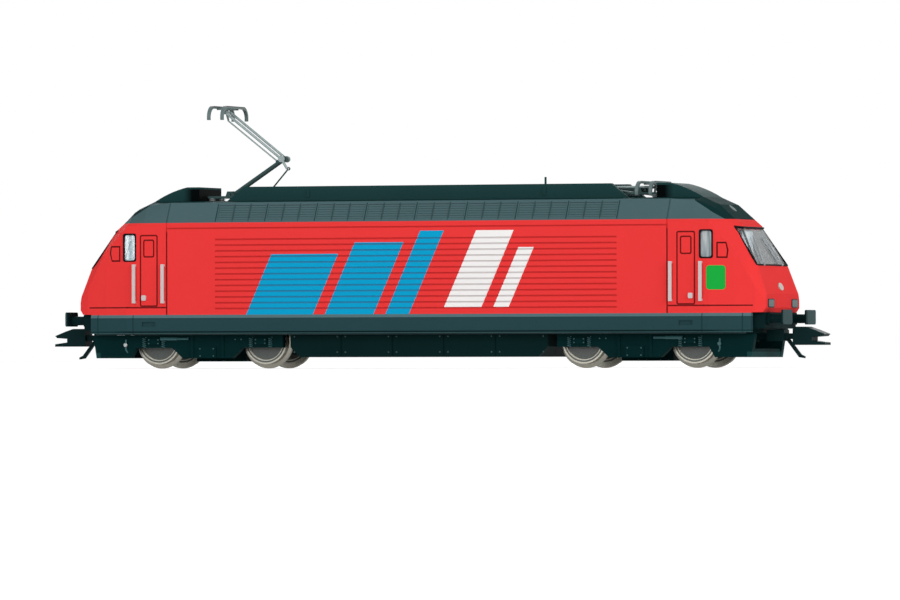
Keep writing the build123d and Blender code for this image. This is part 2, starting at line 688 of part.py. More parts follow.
# Buffer beams, buffers and cab interiors at each end
BEAM_SETBACK = 0.7
BEAM_LEDGE = 2.0
BEAM_HALF = 13.2
BUFFER_Y = 10.05
BUFFER_SOCKET = 3.3
BUFFER_STEM = 1.25
PLATE_Y = 7.0
PLATE_Z = 4.0
PLATE_DEPTH = 0.9
PLATE_RISE = 0.4
CAB_FLOOR = 1.0
CAB_HALF = 13.5
CAB_WALL_HEIGHT = 20.0
DESK_BACK = 12.3
DESK_DEPTH = 6.0
DESK_HEIGHT = 8.1
DESK_HALF = 12.0
SEAT_BACK = 22.3
SEAT_DEPTH = 4.5
SEAT_HEIGHT = 6.1
SEAT_TOP = 13.5
SEAT_HALF = 2.6
beam_face = NOSE - BEAM_SETBACK
for end, name in ((1, "front"), (-1, "rear")):
    with BuildPart() as beam:
        with BuildSketch(side(0, end)):
            Polygon(
                (floor_end, beam_bottom),
                (beam_face, beam_bottom),
                (beam_face, NOSE_BOTTOM),
                (floor_end + BEAM_LEDGE, NOSE_BOTTOM),
                (floor_end + BEAM_LEDGE, floor_top),
                (floor_end, floor_top),
                align=None,
            )
        extrude(amount=BEAM_HALF, both=True)
    beam.part.label = "buffer_beam_" + name
    export_step(beam.part, "parts/buffer_beam_" + name + ".step")

    with BuildPart() as buffers:
        with BuildSketch(across(beam_face, end)):
            with Locations((BUFFER_Y, buffer_z), (-BUFFER_Y, buffer_z)):
                RectangleRounded(BUFFER_SOCKET, BUFFER_SOCKET, BUFFER_SOCKET / 8)
        extrude(amount=PLATE_DEPTH)
        with BuildSketch(across(beam_face, end)):
            with Locations((BUFFER_Y, buffer_z), (-BUFFER_Y, buffer_z)):
                Circle(BUFFER_STEM)
        extrude(amount=LENGTH / 2 - beam_face - PLATE_DEPTH / 2)
        with BuildSketch(across(LENGTH / 2 - PLATE_DEPTH, end)):
            with Locations((BUFFER_Y, buffer_z + PLATE_RISE), (-BUFFER_Y, buffer_z + PLATE_RISE)):
                RectangleRounded(PLATE_Y, PLATE_Z, PLATE_Z / 6)
        extrude(amount=PLATE_DEPTH)
    buffers.part.label = "buffers_" + name
    export_step(buffers.part, "parts/buffers_" + name + ".step")

    desk_rear = NOSE - DESK_BACK
    desk_front = desk_rear + DESK_DEPTH
    seat_rear = NOSE - SEAT_BACK
    seat_front = seat_rear + SEAT_DEPTH
    with BuildPart() as cab:
        with BuildSketch(level(floor_top, end)):
            with Locations(((CAB_START + floor_end - CAB_FLOOR) / 2, 0)):
                Rectangle(floor_end - CAB_FLOOR - CAB_START, 2 * CAB_HALF)
        extrude(amount=CAB_FLOOR)
        with BuildSketch(across(CAB_START, end)):
            with Locations((0, floor_top + CAB_WALL_HEIGHT / 2)):
                Rectangle(2 * CAB_HALF, CAB_WALL_HEIGHT)
        extrude(amount=CAB_FLOOR)
        with BuildSketch(side(0, end)):
            Polygon(
                (desk_rear, floor_top),
                (desk_front, floor_top),
                (desk_front, floor_top + 0.8 * DESK_HEIGHT),
                (desk_front - DESK_DEPTH / 4, floor_top + DESK_HEIGHT),
                (desk_rear, floor_top + 0.93 * DESK_HEIGHT),
                align=None,
            )
        extrude(amount=DESK_HALF, both=True)
        with BuildSketch(side(0, end)):
            Polygon(
                (seat_rear, floor_top),
                (seat_front, floor_top),
                (seat_front, floor_top + SEAT_HEIGHT),
                (seat_rear + 0.3 * SEAT_DEPTH, floor_top + SEAT_HEIGHT),
                (seat_rear + 0.2 * SEAT_DEPTH, floor_top + SEAT_TOP),
                (seat_rear - 0.2 * SEAT_DEPTH, floor_top + SEAT_TOP),
                align=None,
            )
        extrude(amount=SEAT_HALF, both=True)
    cab.part.label = "cab_interior_" + name
    export_step(cab.part, "parts/cab_interior_" + name + ".step")

# Couplers: eye on the post pin, neck in a pocket, head with two prongs, hanging hook
COUPLER_REACH = 7.9
HEAD_LENGTH = 9.2
HEAD_HEIGHT = 5.0
HEAD_DROP = 1.6
HEAD_HALF = 2.6
NECK_WIDTH = 2.8
EYE_RADIUS = 2.0
HOOK_LENGTH = 5.4
HOOK_DROP = 5.2
HOOK_HALF = 0.5
POCKET_START = 4.4
POCKET_LENGTH = 5.0
POCKET_HALF = 2.2
POCKET_LIP = 0.5
POCKET_CLEAR = 0.3
head_tip = LENGTH / 2 + COUPLER_REACH
head_rear = head_tip - HEAD_LENGTH
head_low = coupler_bottom - HEAD_DROP
hook_x = head_rear - HOOK_LENGTH / 2
hook_low = coupler_bottom - HOOK_DROP
pocket_top = beam_bottom - POCKET_CLEAR
pocket_low = coupler_bottom - POCKET_LIP
pocket_x = coupler_x + POCKET_START + POCKET_LENGTH / 2
for end, name in ((1, "front"), (-1, "rear")):
    with BuildPart() as coupler:
        with BuildSketch(level(coupler_bottom, end)):
            with Locations((coupler_x, 0)):
                Circle(EYE_RADIUS)
            with Locations(((coupler_x + head_rear + 1) / 2, 0)):
                Rectangle(head_rear + 1 - coupler_x, NECK_WIDTH)
            with Locations((coupler_x, 0)):
                Circle(PIN_RADIUS + BEARING_PLAY, mode=Mode.SUBTRACT)
        extrude(amount=COUPLER_THICK)
        with BuildSketch(side(0, end)):
            Polygon(
                (head_rear, head_low),
                (head_tip, head_low),
                (head_tip, head_low + 0.14 * HEAD_HEIGHT),
                (head_tip - 0.4 * HEAD_LENGTH, head_low + 0.24 * HEAD_HEIGHT),
                (head_tip - 0.4 * HEAD_LENGTH, head_low + 0.44 * HEAD_HEIGHT),
                (head_tip - 0.07 * HEAD_LENGTH, head_low + 0.48 * HEAD_HEIGHT),
                (head_tip, head_low + 0.6 * HEAD_HEIGHT),
                (head_tip - 0.35 * HEAD_LENGTH, head_low + 0.85 * HEAD_HEIGHT),
                (head_tip - 0.6 * HEAD_LENGTH, head_low + HEAD_HEIGHT),
                (head_rear, head_low + HEAD_HEIGHT),
                align=None,
            )
        extrude(amount=HEAD_HALF, both=True)
        with BuildSketch(side(0, end)):
            Polygon(
                (hook_x, coupler_bottom),
                (hook_x + 0.2 * HOOK_LENGTH, coupler_bottom),
                (hook_x + 0.8 * HOOK_LENGTH, hook_low + 0.2 * HOOK_DROP),
                (hook_x + HOOK_LENGTH, hook_low + 0.1 * HOOK_DROP),
                (hook_x + HOOK_LENGTH, hook_low),
                (hook_x + 0.7 * HOOK_LENGTH, hook_low + 0.05 * HOOK_DROP),
                align=None,
            )
        extrude(amount=HOOK_HALF, both=True)
        with BuildSketch(side(0, end)):
            with Locations((pocket_x, (pocket_low + pocket_top) / 2)):
                Rectangle(POCKET_LENGTH, pocket_top - pocket_low)
        extrude(amount=POCKET_HALF, both=True)
    coupler.part.label = "coupler_" + name
    export_step(coupler.part, "parts/coupler_" + name + ".step")

# Bogies: centre block with axle bores, gear cover, transom, side frames with axle boxes and dampers, plough
FRAME_CLEAR = 0.95
FRAME_THICK = 2.0
FRAME_CLEAR_TOP = 0.35
FRAME_LOW = 1.7
ARCH_HEIGHT = 4.6
ARCH_HALF = 7.0
ARCH_SLOPE = 1.6
PLOUGH_REACH = 33.6
PLOUGH_RAKE = 1.0
PLOUGH_TOP = 4.0
PLOUGH_THICK = 1.0
FRAME_TAIL = 0.5
BLOCK_HALF = 5.8
BLOCK_LOW = 2.6
BLOCK_RISE = 2.7
BLOCK_MARGIN = 4.0
BLOCK_NOSE = 5.5
COVER_LOW = 0.8
COVER_HALF = 3.0
COVER_LENGTH = 15.0
PAD_RADIUS = 4.5
TRANSOM_LENGTH = 10.0
TRANSOM_HEIGHT = 1.4
BOX_WIDTH = 3.8
BOX_HEIGHT = 1.7
BOX_PROUD = 0.5
CRADLE_WIDTH = 5.4
CRADLE_HEIGHT = 3.2
DAMPER_RADIUS = 0.6
DAMPER_SPACING = 9.2
side_in = WHEEL_FACE + FRAME_CLEAR + 0.5 * AXLE_RADIUS
side_out = side_in + FRAME_THICK
frame_top = SILL_BOTTOM - FRAME_CLEAR_TOP
block_top = AXLE_HEIGHT + BLOCK_RISE
plough_x = PIVOT + PLOUGH_REACH
tail_x = AXLES[0] - ARCH_HALF + FRAME_TAIL
for end, name in ((1, "front"), (-1, "rear")):
    with BuildPart() as bogie:
        with BuildSketch(side(0, end)):
            with Locations((PIVOT + BLOCK_NOSE / 2, (block_top + BLOCK_LOW) / 2)):
                Rectangle(WHEELBASE + 2 * BLOCK_MARGIN + BLOCK_NOSE, block_top - BLOCK_LOW)
        extrude(amount=BLOCK_HALF, both=True)
        with BuildSketch(side(0, end)):
            with Locations((PIVOT, (BLOCK_LOW + COVER_LOW) / 2)):
                Rectangle(COVER_LENGTH, BLOCK_LOW - COVER_LOW + GAP)
        extrude(amount=COVER_HALF, both=True)
        with BuildSketch(level(block_top - GAP, end)):
            with Locations((PIVOT, 0)):
                Circle(PAD_RADIUS)
        extrude(amount=floor_bottom - block_top + GAP / 2)
        with BuildSketch(level(block_top, end)):
            with Locations((PIVOT, 0)):
                Circle(KING_RADIUS)
        extrude(amount=floor_top - block_top)
        with BuildSketch(level(BLOCK_LOW, end)):
            with Locations((PIVOT, 0)):
                Rectangle(TRANSOM_LENGTH, 2 * side_out - FRAME_THICK)
        extrude(amount=TRANSOM_HEIGHT)
        with BuildSketch(side(0, end)):
            Polygon(
                (plough_x - PLOUGH_THICK, FRAME_LOW),
                (plough_x, FRAME_LOW),
                (plough_x, PLOUGH_TOP),
                (plough_x - PLOUGH_THICK, PLOUGH_TOP),
                align=None,
            )
        extrude(amount=side_in + FRAME_THICK / 2, both=True)
        for turn in (1, -1):
            with BuildSketch(side(turn * side_in, end)):
                Polygon(
                    (tail_x, frame_top),
                    (plough_x + PLOUGH_RAKE, frame_top),
                    (plough_x, FRAME_LOW),
                    (AXLES[1] + ARCH_HALF, FRAME_LOW),
                    (AXLES[1] + ARCH_HALF - ARCH_SLOPE, ARCH_HEIGHT),
                    (AXLES[1] - ARCH_HALF + ARCH_SLOPE, ARCH_HEIGHT),
                    (AXLES[1] - ARCH_HALF - ARCH_SLOPE, FRAME_LOW),
                    (AXLES[0] + ARCH_HALF + ARCH_SLOPE, FRAME_LOW),
                    (AXLES[0] + ARCH_HALF - ARCH_SLOPE, ARCH_HEIGHT),
                    (tail_x, ARCH_HEIGHT),
                    align=None,
                )
            extrude(amount=-turn * FRAME_THICK)
            with BuildSketch(side(turn * side_out, end)):
                with Locations((AXLES[0], AXLE_HEIGHT), (AXLES[1], AXLE_HEIGHT)):
                    RectangleRounded(BOX_WIDTH, BOX_HEIGHT, BOX_HEIGHT / 6)
                with Locations((PIVOT, FRAME_LOW + CRADLE_HEIGHT / 2)):
                    Rectangle(CRADLE_WIDTH, CRADLE_HEIGHT)
            extrude(amount=-turn * BOX_PROUD)
            for spot in (PIVOT - DAMPER_SPACING / 2, PIVOT + DAMPER_SPACING / 2):
                with BuildSketch(level(FRAME_LOW, end)):
                    with Locations((spot, -turn * side_out)):
                        Circle(DAMPER_RADIUS)
                extrude(amount=frame_top - FRAME_LOW)
        with BuildSketch(side(0, end)):
            with Locations((AXLES[0], AXLE_HEIGHT), (AXLES[1], AXLE_HEIGHT)):
                Circle(AXLE_RADIUS + BEARING_PLAY)
        extrude(amount=BLOCK_HALF + 1.0, both=True, mode=Mode.SUBTRACT)
    bogie.part.label = "bogie_frame_" + name
    export_step(bogie.part, "parts/bogie_frame_" + name + ".step")

# Wheelsets: axle and both wheels as one turned piece
RIM = 1.1
DISH = 0.5
HUB_RADIUS = 2.2
FLANGE_TIP = 0.3
wheel_back = BACK_TO_BACK / 2
tip_radius = AXLE_HEIGHT + FLANGE_DEPTH
right_wheel = [
    (wheel_back, AXLE_RADIUS),
    (wheel_back, tip_radius - FLANGE_TIP),
    (wheel_back + FLANGE_TIP, tip_radius),
    (wheel_back + 2 * FLANGE_TIP, tip_radius - FLANGE_TIP),
    (wheel_back + 3 * FLANGE_TIP, AXLE_HEIGHT + FLANGE_TIP / 3),
    (WHEEL_FACE, AXLE_HEIGHT),
    (WHEEL_FACE, AXLE_HEIGHT - RIM),
    (WHEEL_FACE - DISH, AXLE_HEIGHT - RIM),
    (WHEEL_FACE - DISH, HUB_RADIUS),
    (WHEEL_FACE, HUB_RADIUS),
    (WHEEL_FACE + DISH, HUB_RADIUS - DISH),
    (WHEEL_FACE + DISH, 0),
]
left_wheel = [(-y, radius) for y, radius in reversed(right_wheel)]
for number, centre in enumerate((AXLES[1], AXLES[0], -AXLES[0], -AXLES[1]), 1):
    axle_plane = Plane(origin=(centre, 0, FLANGE_DEPTH + AXLE_HEIGHT), x_dir=(0, 1, 0), z_dir=(1, 0, 0))
    with BuildPart() as wheelset:
        with BuildSketch(axle_plane):
            with BuildLine():
                Polyline(*left_wheel, *right_wheel, close=True)
            make_face()
        revolve(axis=Axis((centre, 0, FLANGE_DEPTH + AXLE_HEIGHT), (0, 1, 0)))
    wheelset.part.label = "wheelset_" + str(number)
    export_step(wheelset.part, "parts/wheelset_" + str(number) + ".step")

# Pantographs: frame on insulators, two arms, two control rods and the collector head.
# The rear one stands raised, the front one lies folded.
FOLD_LOWER = 3.0
FOLD_UPPER = 0.0
RAISED_LOWER = 33.0
RAISED_UPPER = 37.9
PANTO_RISE = 2.0
BASE_RISE = 0.9
BASE_THICK = 0.6
BASE_BAR = 0.8
BASE_FRONT = 6.4
ROD_SETBACK = 9.7
ROD_RISE = 1.1
BASE_Y = 3.6
BEARING_Y = 3.1
BEARING_THICK = 0.9
BEARING_HEAD = 0.8
ARM_PLANE = 2.1
ARM_RADIUS = 0.36
LOWER_RADIUS = 0.65
KNEE_RADIUS = 0.9
HUB_HALF = 0.6
ROD_PLANE = 1.0
ROD_RADIUS = 0.22
ROD_EYE = 0.5
PIN = 0.2
SHAFT_RADIUS = 0.32
SHAFT_PLAY = 0.07
TAIL_ANGLE = 200.0
LUG = 2.4
LUG_ANGLE = 17.0
HEAD_RISE = 1.63
LEVER_OUT = 0.3
LEVER_DROP = 2.3
LEVER_THICK = 0.28
STRIP_HALF = 6.0
STRIP_THICK = 0.7
HORN_HALF = 9.2
HORN_DROP = 4.0
HORN_WIDTH = 0.6
YOKE_Y = 2.85
YOKE_THICK = 0.6
INSULATOR_RADIUS = 0.9
INSULATOR_NECK = 0.6
rod_x = PANTO_PIVOT - ROD_SETBACK
base_end = PANTO_PIVOT + BASE_FRONT
base_bottom = DECK + BASE_RISE
base_top = base_bottom + BASE_THICK
insulator_x = (rod_x + 2 * BASE_THICK, base_end - 2 * BASE_THICK)


def aim(plane, start, finish):
    """Plane at one point of an upright lengthwise plane, facing another point of it."""
    first = plane.from_local_coords(Vector(start[0], start[1], 0))
    last = plane.from_local_coords(Vector(finish[0], finish[1], 0))
    return Plane(origin=first, z_dir=last - first)


def span(start, finish):
    """Distance between two points."""
    return (Vector(*finish) - Vector(*start)).length


def polar(point, length, angle):
    """Point at a length and angle from another, in an upright lengthwise plane."""
    step = Vector(length, 0, 0).rotate(Axis.Z, angle)
    return (point[0] + step.X, point[1] + step.Y)


with BuildPart() as insulators:
    for radius, start, finish in (
        (INSULATOR_NECK, 0, BASE_RISE),
        (INSULATOR_RADIUS, BASE_RISE / 5, 2 * BASE_RISE / 5),
        (INSULATOR_RADIUS, 3 * BASE_RISE / 5, 4 * BASE_RISE / 5),
    ):
        with BuildSketch(level(DECK + start)):
            for spot in insulator_x:
                with GridLocations(2 * spot, 2 * BASE_Y, 2, 2):
                    Circle(radius)
        extrude(amount=finish - start)
insulators.part.label = "pantograph_insulators"
export_step(insulators.part, "parts/pantograph_insulators.step")

# Pantographs: end, name, lower arm angle, upper arm angle
PANTOGRAPHS = ((1, "front", FOLD_LOWER, FOLD_UPPER), (-1, "rear", RAISED_LOWER, RAISED_UPPER))
for end, name, lower_angle, upper_angle in PANTOGRAPHS:
    plane = side(0, end)
    foot = (PANTO_PIVOT, DECK + PANTO_RISE)
    knee = polar(foot, LOWER_ARM, 180 - lower_angle)
    hinge = polar(knee, UPPER_ARM, upper_angle)
    tail = polar(knee, TAIL, TAIL_ANGLE + upper_angle - FOLD_UPPER)
    lug = polar(knee, LUG, LUG_ANGLE - lower_angle)
    rod_foot = (rod_x, DECK + ROD_RISE)
    lever = (hinge[0] + LEVER_OUT, hinge[1] - LEVER_DROP)

    with BuildPart() as base:
        for turn in (1, -1):
            with BuildSketch(side(turn * BASE_Y, end)):
                with Locations(((rod_x + base_end) / 2, (base_top + base_bottom) / 2)):
                    Rectangle(base_end - rod_x, BASE_THICK)
            extrude(amount=BASE_BAR / 2, both=True)
            with BuildSketch(side(turn * BEARING_Y, end)):
                Polygon(
                    (foot[0] - 1.8 * BEARING_HEAD, base_bottom),
                    (foot[0] + 1.8 * BEARING_HEAD, base_bottom),
                    (foot[0] + BEARING_HEAD, foot[1] + BEARING_HEAD),
                    (foot[0] - BEARING_HEAD, foot[1] + BEARING_HEAD),
                    align=None,
                )
                with Locations(foot):
                    Circle(SHAFT_RADIUS + SHAFT_PLAY, mode=Mode.SUBTRACT)
            extrude(amount=BEARING_THICK / 2, both=True)
        with BuildSketch(level(base_bottom, end)):
            with Locations((insulator_x[0], 0), (base_end - BASE_THICK / 2, 0)):
                Rectangle(BASE_THICK, 2 * BASE_Y)
        extrude(amount=BASE_THICK)
        with BuildSketch(side(0, end)):
            with Locations(rod_foot):
                Circle(PIN + SHAFT_PLAY)
            with Locations(((rod_x + insulator_x[0]) / 2, rod_foot[1])):
                Rectangle(insulator_x[0] - rod_x, 2 * PIN + SHAFT_PLAY)
        extrude(amount=-(ROD_PLANE - ROD_RADIUS - 2 * SHAFT_PLAY))
        with BuildSketch(side(0, end)):
            with Locations(rod_foot):
                Circle(PIN)
        extrude(amount=-(ROD_PLANE + ROD_RADIUS))
    base.part.label = "pantograph_base_" + name
    export_step(base.part, "parts/pantograph_base_" + name + ".step")

    with BuildPart() as lower_arm:
        with BuildSketch(aim(plane, foot, knee)):
            Circle(LOWER_RADIUS)
        extrude(amount=LOWER_ARM)
        with BuildSketch(plane):
            with Locations(foot):
                Circle(SHAFT_RADIUS)
        extrude(amount=BEARING_Y + BEARING_THICK, both=True)
        with BuildSketch(plane):
            with Locations(foot, knee):
                Circle(KNEE_RADIUS)
        extrude(amount=HUB_HALF, both=True)
        with BuildSketch(aim(plane, knee, lug)):
            Circle(SHAFT_RADIUS)
        extrude(amount=span(knee, lug))
        with BuildSketch(plane):
            with Locations(lug):
                Circle(PIN + SHAFT_PLAY)
        extrude(amount=ROD_PLANE + ROD_RADIUS)
        with BuildSketch(plane):
            with Locations(knee):
                Circle(SHAFT_RADIUS + SHAFT_PLAY)
        extrude(amount=ARM_PLANE, both=True, mode=Mode.SUBTRACT)
    lower_arm.part.label = "lower_arm_" + name
    export_step(lower_arm.part, "parts/lower_arm_" + name + ".step")

    with BuildPart() as upper_arm:
        for turn in (1, -1):
            with BuildSketch(aim(side(turn * ARM_PLANE, end), knee, hinge)):
                Circle(ARM_RADIUS)
            extrude(amount=UPPER_ARM)
            with BuildSketch(side(turn * ARM_PLANE, end)):
                with Locations(knee):
                    Circle(KNEE_RADIUS)
            extrude(amount=ARM_RADIUS, both=True)
        with BuildSketch(aim(side(ARM_PLANE, end), knee, tail)):
            Circle(ARM_RADIUS)
        extrude(amount=TAIL)
        with BuildSketch(side(ARM_PLANE, end)):
            with Locations(tail):
                Circle(PIN)
        extrude(amount=ARM_PLANE - ROD_PLANE - ROD_RADIUS - SHAFT_PLAY)
        with BuildSketch(plane):
            with Locations(knee):
                Circle(SHAFT_RADIUS)
        extrude(amount=ARM_PLANE, both=True)
        with BuildSketch(plane):
            with Locations(hinge):
                Circle(SHAFT_RADIUS)
        extrude(amount=YOKE_Y + YOKE_THICK, both=True)
    upper_arm.part.label = "upper_arm_" + name
    export_step(upper_arm.part, "parts/upper_arm_" + name + ".step")

    with BuildPart() as lower_rod:
        with BuildSketch(aim(side(ROD_PLANE, end), rod_foot, tail)):
            Circle(ROD_RADIUS)
        extrude(amount=span(rod_foot, tail))
        with BuildSketch(side(ROD_PLANE, end)):
            with Locations(rod_foot, tail):
                Circle(ROD_EYE)
        extrude(amount=ROD_RADIUS, both=True)
        with BuildSketch(side(ROD_PLANE, end)):
            with Locations(rod_foot, tail):
                Circle(PIN + SHAFT_PLAY)
        extrude(amount=ROD_EYE, both=True, mode=Mode.SUBTRACT)
    lower_rod.part.label = "lower_rod_" + name
    export_step(lower_rod.part, "parts/lower_rod_" + name + ".step")

    with BuildPart() as upper_rod:
        with BuildSketch(aim(side(-ROD_PLANE, end), lug, lever)):
            Circle(ROD_RADIUS)
        extrude(amount=span(lug, lever))
        with BuildSketch(side(-ROD_PLANE, end)):
            with Locations(lug):
                Circle(ROD_EYE)
        extrude(amount=ROD_RADIUS, both=True)
        with BuildSketch(side(-ROD_PLANE, end)):
            with Locations(lug):
                Circle(PIN + 2 * SHAFT_PLAY)
        extrude(amount=ROD_EYE, both=True, mode=Mode.SUBTRACT)
    upper_rod.part.label = "upper_rod_" + name
    export_step(upper_rod.part, "parts/upper_rod_" + name + ".step")

    top = hinge[1] + HEAD_RISE
    horn_low = top - HORN_DROP
    bend = (STRIP_HALF + 0.8 * (HORN_HALF - STRIP_HALF), top - 0.3 * HORN_DROP)
    under = (bend[0] - 0.8 * HORN_WIDTH, bend[1] - 0.8 * HORN_WIDTH)
    with BuildPart() as head:
        for spot in (hinge[0] - STRIP_GAP / 2, hinge[0] + STRIP_GAP / 2):
            with BuildSketch(across(spot, end)):
                with BuildLine():
                    Line((-STRIP_HALF, top), (STRIP_HALF, top))
                    ThreePointArc((STRIP_HALF, top), bend, (HORN_HALF, horn_low))
                    Line((HORN_HALF, horn_low), (HORN_HALF - HORN_WIDTH, horn_low))
                    ThreePointArc((HORN_HALF - HORN_WIDTH, horn_low), under, (STRIP_HALF, top - STRIP_THICK))
                    Line((STRIP_HALF, top - STRIP_THICK), (-STRIP_HALF, top - STRIP_THICK))
                    ThreePointArc(
                        (-STRIP_HALF, top - STRIP_THICK),
                        (-under[0], under[1]),
                        (HORN_WIDTH - HORN_HALF, horn_low),
                    )
                    Line((HORN_WIDTH - HORN_HALF, horn_low), (-HORN_HALF, horn_low))
                    ThreePointArc((-HORN_HALF, horn_low), (-bend[0], bend[1]), (-STRIP_HALF, top))
                make_face()
            extrude(amount=STRIP_WIDTH / 2, both=True)
        for turn in (1, -1):
            with BuildSketch(side(turn * YOKE_Y, end)):
                with Locations((hinge[0], top - STRIP_THICK)):
                    Rectangle(STRIP_GAP, STRIP_THICK)
                with Locations(hinge):
                    Circle(2 * SHAFT_RADIUS)
                with Locations((hinge[0], hinge[1] + HEAD_RISE / 3)):
                    Rectangle(2 * SHAFT_RADIUS, 2 * HEAD_RISE / 3)
                with Locations(hinge):
                    Circle(SHAFT_RADIUS + SHAFT_PLAY, mode=Mode.SUBTRACT)
            extrude(amount=YOKE_THICK / 2, both=True)
        with BuildSketch(level(top - STRIP_THICK - SHAFT_RADIUS / 2, end)):
            with Locations((hinge[0] + 2 * SHAFT_RADIUS + SHAFT_PLAY, 0)):
                Rectangle(2 * SHAFT_RADIUS, 2 * YOKE_Y)
        extrude(amount=STRIP_THICK / 2)
        lever_in = hinge[0] + SHAFT_RADIUS + 2 * SHAFT_PLAY
        lever_out = lever_in + 2 * SHAFT_RADIUS
        with BuildSketch(side(-(ROD_PLANE + ROD_RADIUS + SHAFT_PLAY), end)):
            Polygon(
                (lever_in, top - STRIP_THICK),
                (lever_out, top - STRIP_THICK),
                (lever_out, hinge[1] - 2 * SHAFT_RADIUS),
                (lever[0] + ROD_RADIUS, lever[1] - ROD_RADIUS),
                (lever[0] - ROD_RADIUS, lever[1] - ROD_RADIUS),
                (lever_in, hinge[1] - 2 * SHAFT_RADIUS),
                align=None,
            )
        extrude(amount=LEVER_THICK)
    head.part.label = "collector_head_" + name
    export_step(head.part, "parts/collector_head_" + name + ".step")
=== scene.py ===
"""Looks of a model electric locomotive: painted shell, glazing, running gear, pantographs, studio."""

import math

import bmesh
import bpy
from mathutils import Matrix, Vector


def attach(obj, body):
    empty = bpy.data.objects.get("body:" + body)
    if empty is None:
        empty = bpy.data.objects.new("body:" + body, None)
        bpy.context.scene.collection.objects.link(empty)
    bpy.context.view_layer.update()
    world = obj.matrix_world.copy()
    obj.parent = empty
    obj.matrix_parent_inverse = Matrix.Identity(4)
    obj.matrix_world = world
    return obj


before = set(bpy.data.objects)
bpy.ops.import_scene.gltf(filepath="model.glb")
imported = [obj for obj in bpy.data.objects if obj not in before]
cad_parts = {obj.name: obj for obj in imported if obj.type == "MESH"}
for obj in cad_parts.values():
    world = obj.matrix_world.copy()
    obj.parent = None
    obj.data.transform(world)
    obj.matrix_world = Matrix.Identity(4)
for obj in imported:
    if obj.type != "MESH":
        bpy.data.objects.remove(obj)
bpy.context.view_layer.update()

# Body shell. One die-cast piece with sills, side walls, cabs and roof shoulders, set on the chassis floor.
# It is sprayed satin red, masked for the grey-green sills, shoulders and dark roof, and pad-printed
# with slanted blue and white bands; dark wash lies in its grooves, and its inside is bare grey metal.
RAIL = 1.2
SILL_TOP = 13.75
WALL_TOP = 39.35
WALL_FACE = 17.2
RED = (0.800, 0.043, 0.043)
SHOULDER_GREY = (0.068, 0.122, 0.131)
ROOF_DARK = (0.0060, 0.0270, 0.0275)
SILL_GREY = (0.021, 0.058, 0.065)
SILL_LIP_HIGHLIGHT = (0.040, 0.090, 0.098)
SILL_BEVEL_HIGHLIGHT = (0.088, 0.160, 0.176)
BARE_CASTING = (0.088, 0.104, 0.112)
PRINT_BLUE = (0.004, 0.340, 0.600)
PRINT_WHITE = (0.88, 0.87, 0.86)
PLATE_GREEN = (0.012, 0.390, 0.050)
# Printed bands: colour, left edge, right edge, foot, head, in millimetres along the slant
PRINT_BANDS = (
    (PRINT_BLUE, -50.0, -30.0, SILL_TOP, 30.5),
    (PRINT_BLUE, -26.5, -12.0, SILL_TOP, 33.6),
    (PRINT_BLUE, -8.5, -1.5, SILL_TOP, 36.7),
    (PRINT_WHITE, 8.0, 19.0, 15.6, 36.7),
    (PRINT_WHITE, 22.5, 27.0, 15.6, 32.0),
)
PRINT_SLANT = 0.45
PRINT_DEPTH = 0.6
FINE_GRAIN = 2500.0
GRAIN_ROUGHNESS = 0.18


def new_material(name):
    """A node material with its tree and Principled shader."""
    material = bpy.data.materials.new(name)
    material.use_nodes = True
    return material, material.node_tree, material.node_tree.nodes["Principled BSDF"]


def place(tree, kind, **settings):
    """A node with its plain settings and unlinked input values set."""
    node = tree.nodes.new(kind)
    inputs = settings.pop("inputs", {})
    for key, value in settings.items():
        setattr(node, key, value)
    for key, value in inputs.items():
        node.inputs[key].default_value = value
    return node


def math_node(tree, operation, first, second=None, third=None):
    """A Math node fed by sockets or plain numbers."""
    node = tree.nodes.new("ShaderNodeMath")
    node.operation = operation
    for index, value in enumerate((first, second, third)):
        if value is None:
            continue
        if isinstance(value, (int, float)):
            node.inputs[index].default_value = value
        else:
            tree.links.new(value, node.inputs[index])
    return node.outputs[0]


def mix_colour(tree, mask, under, over):
    """A colour mix, each side a socket or a plain colour."""
    node = tree.nodes.new("ShaderNodeMix")
    node.data_type = "RGBA"
    for socket, value in ((node.inputs[0], mask), (node.inputs[6], under), (node.inputs[7], over)):
        if isinstance(value, (int, float)):
            socket.default_value = value
        elif isinstance(value, tuple):
            socket.default_value = (*value, 1.0)
        else:
            tree.links.new(value, socket)
    return node.outputs[2]


def between(tree, value, low, high):
    """Mask that is one where a value lies between two limits."""
    over = math_node(tree, "GREATER_THAN", value, low)
    under = math_node(tree, "LESS_THAN", value, high)
    return math_node(tree, "MULTIPLY", over, under)


def both(tree, *masks):
    """Product of several masks."""
    result = masks[0]
    for mask in masks[1:]:
        result = math_node(tree, "MULTIPLY", result, mask)
    return result


def rounded_mask(tree, first, second, centre, half, radius):
    """Mask of a rounded rectangle in two coordinates."""
    overs = []
    for value, middle, reach in ((first, centre[0], half[0]), (second, centre[1], half[1])):
        away = math_node(tree, "ABSOLUTE", math_node(tree, "SUBTRACT", value, middle))
        over = math_node(tree, "MAXIMUM", math_node(tree, "SUBTRACT", away, reach - radius), 0.0)
        overs.append(math_node(tree, "MULTIPLY", over, over))
    distance = math_node(tree, "SQRT", math_node(tree, "ADD", overs[0], overs[1]))
    return math_node(tree, "LESS_THAN", distance, radius)


def millimetres(tree):
    """Object coordinates in millimetres: along, across, height above the rail."""
    coordinate = tree.nodes.new("ShaderNodeTexCoord")
    axes = tree.nodes.new("ShaderNodeSeparateXYZ")
    tree.links.new(coordinate.outputs["Object"], axes.inputs[0])
    along = math_node(tree, "MULTIPLY", axes.outputs["X"], 1000.0)
    across = math_node(tree, "MULTIPLY", axes.outputs["Y"], 1000.0)
    height = math_node(tree, "MULTIPLY_ADD", axes.outputs["Z"], 1000.0, -RAIL)
    return along, across, height


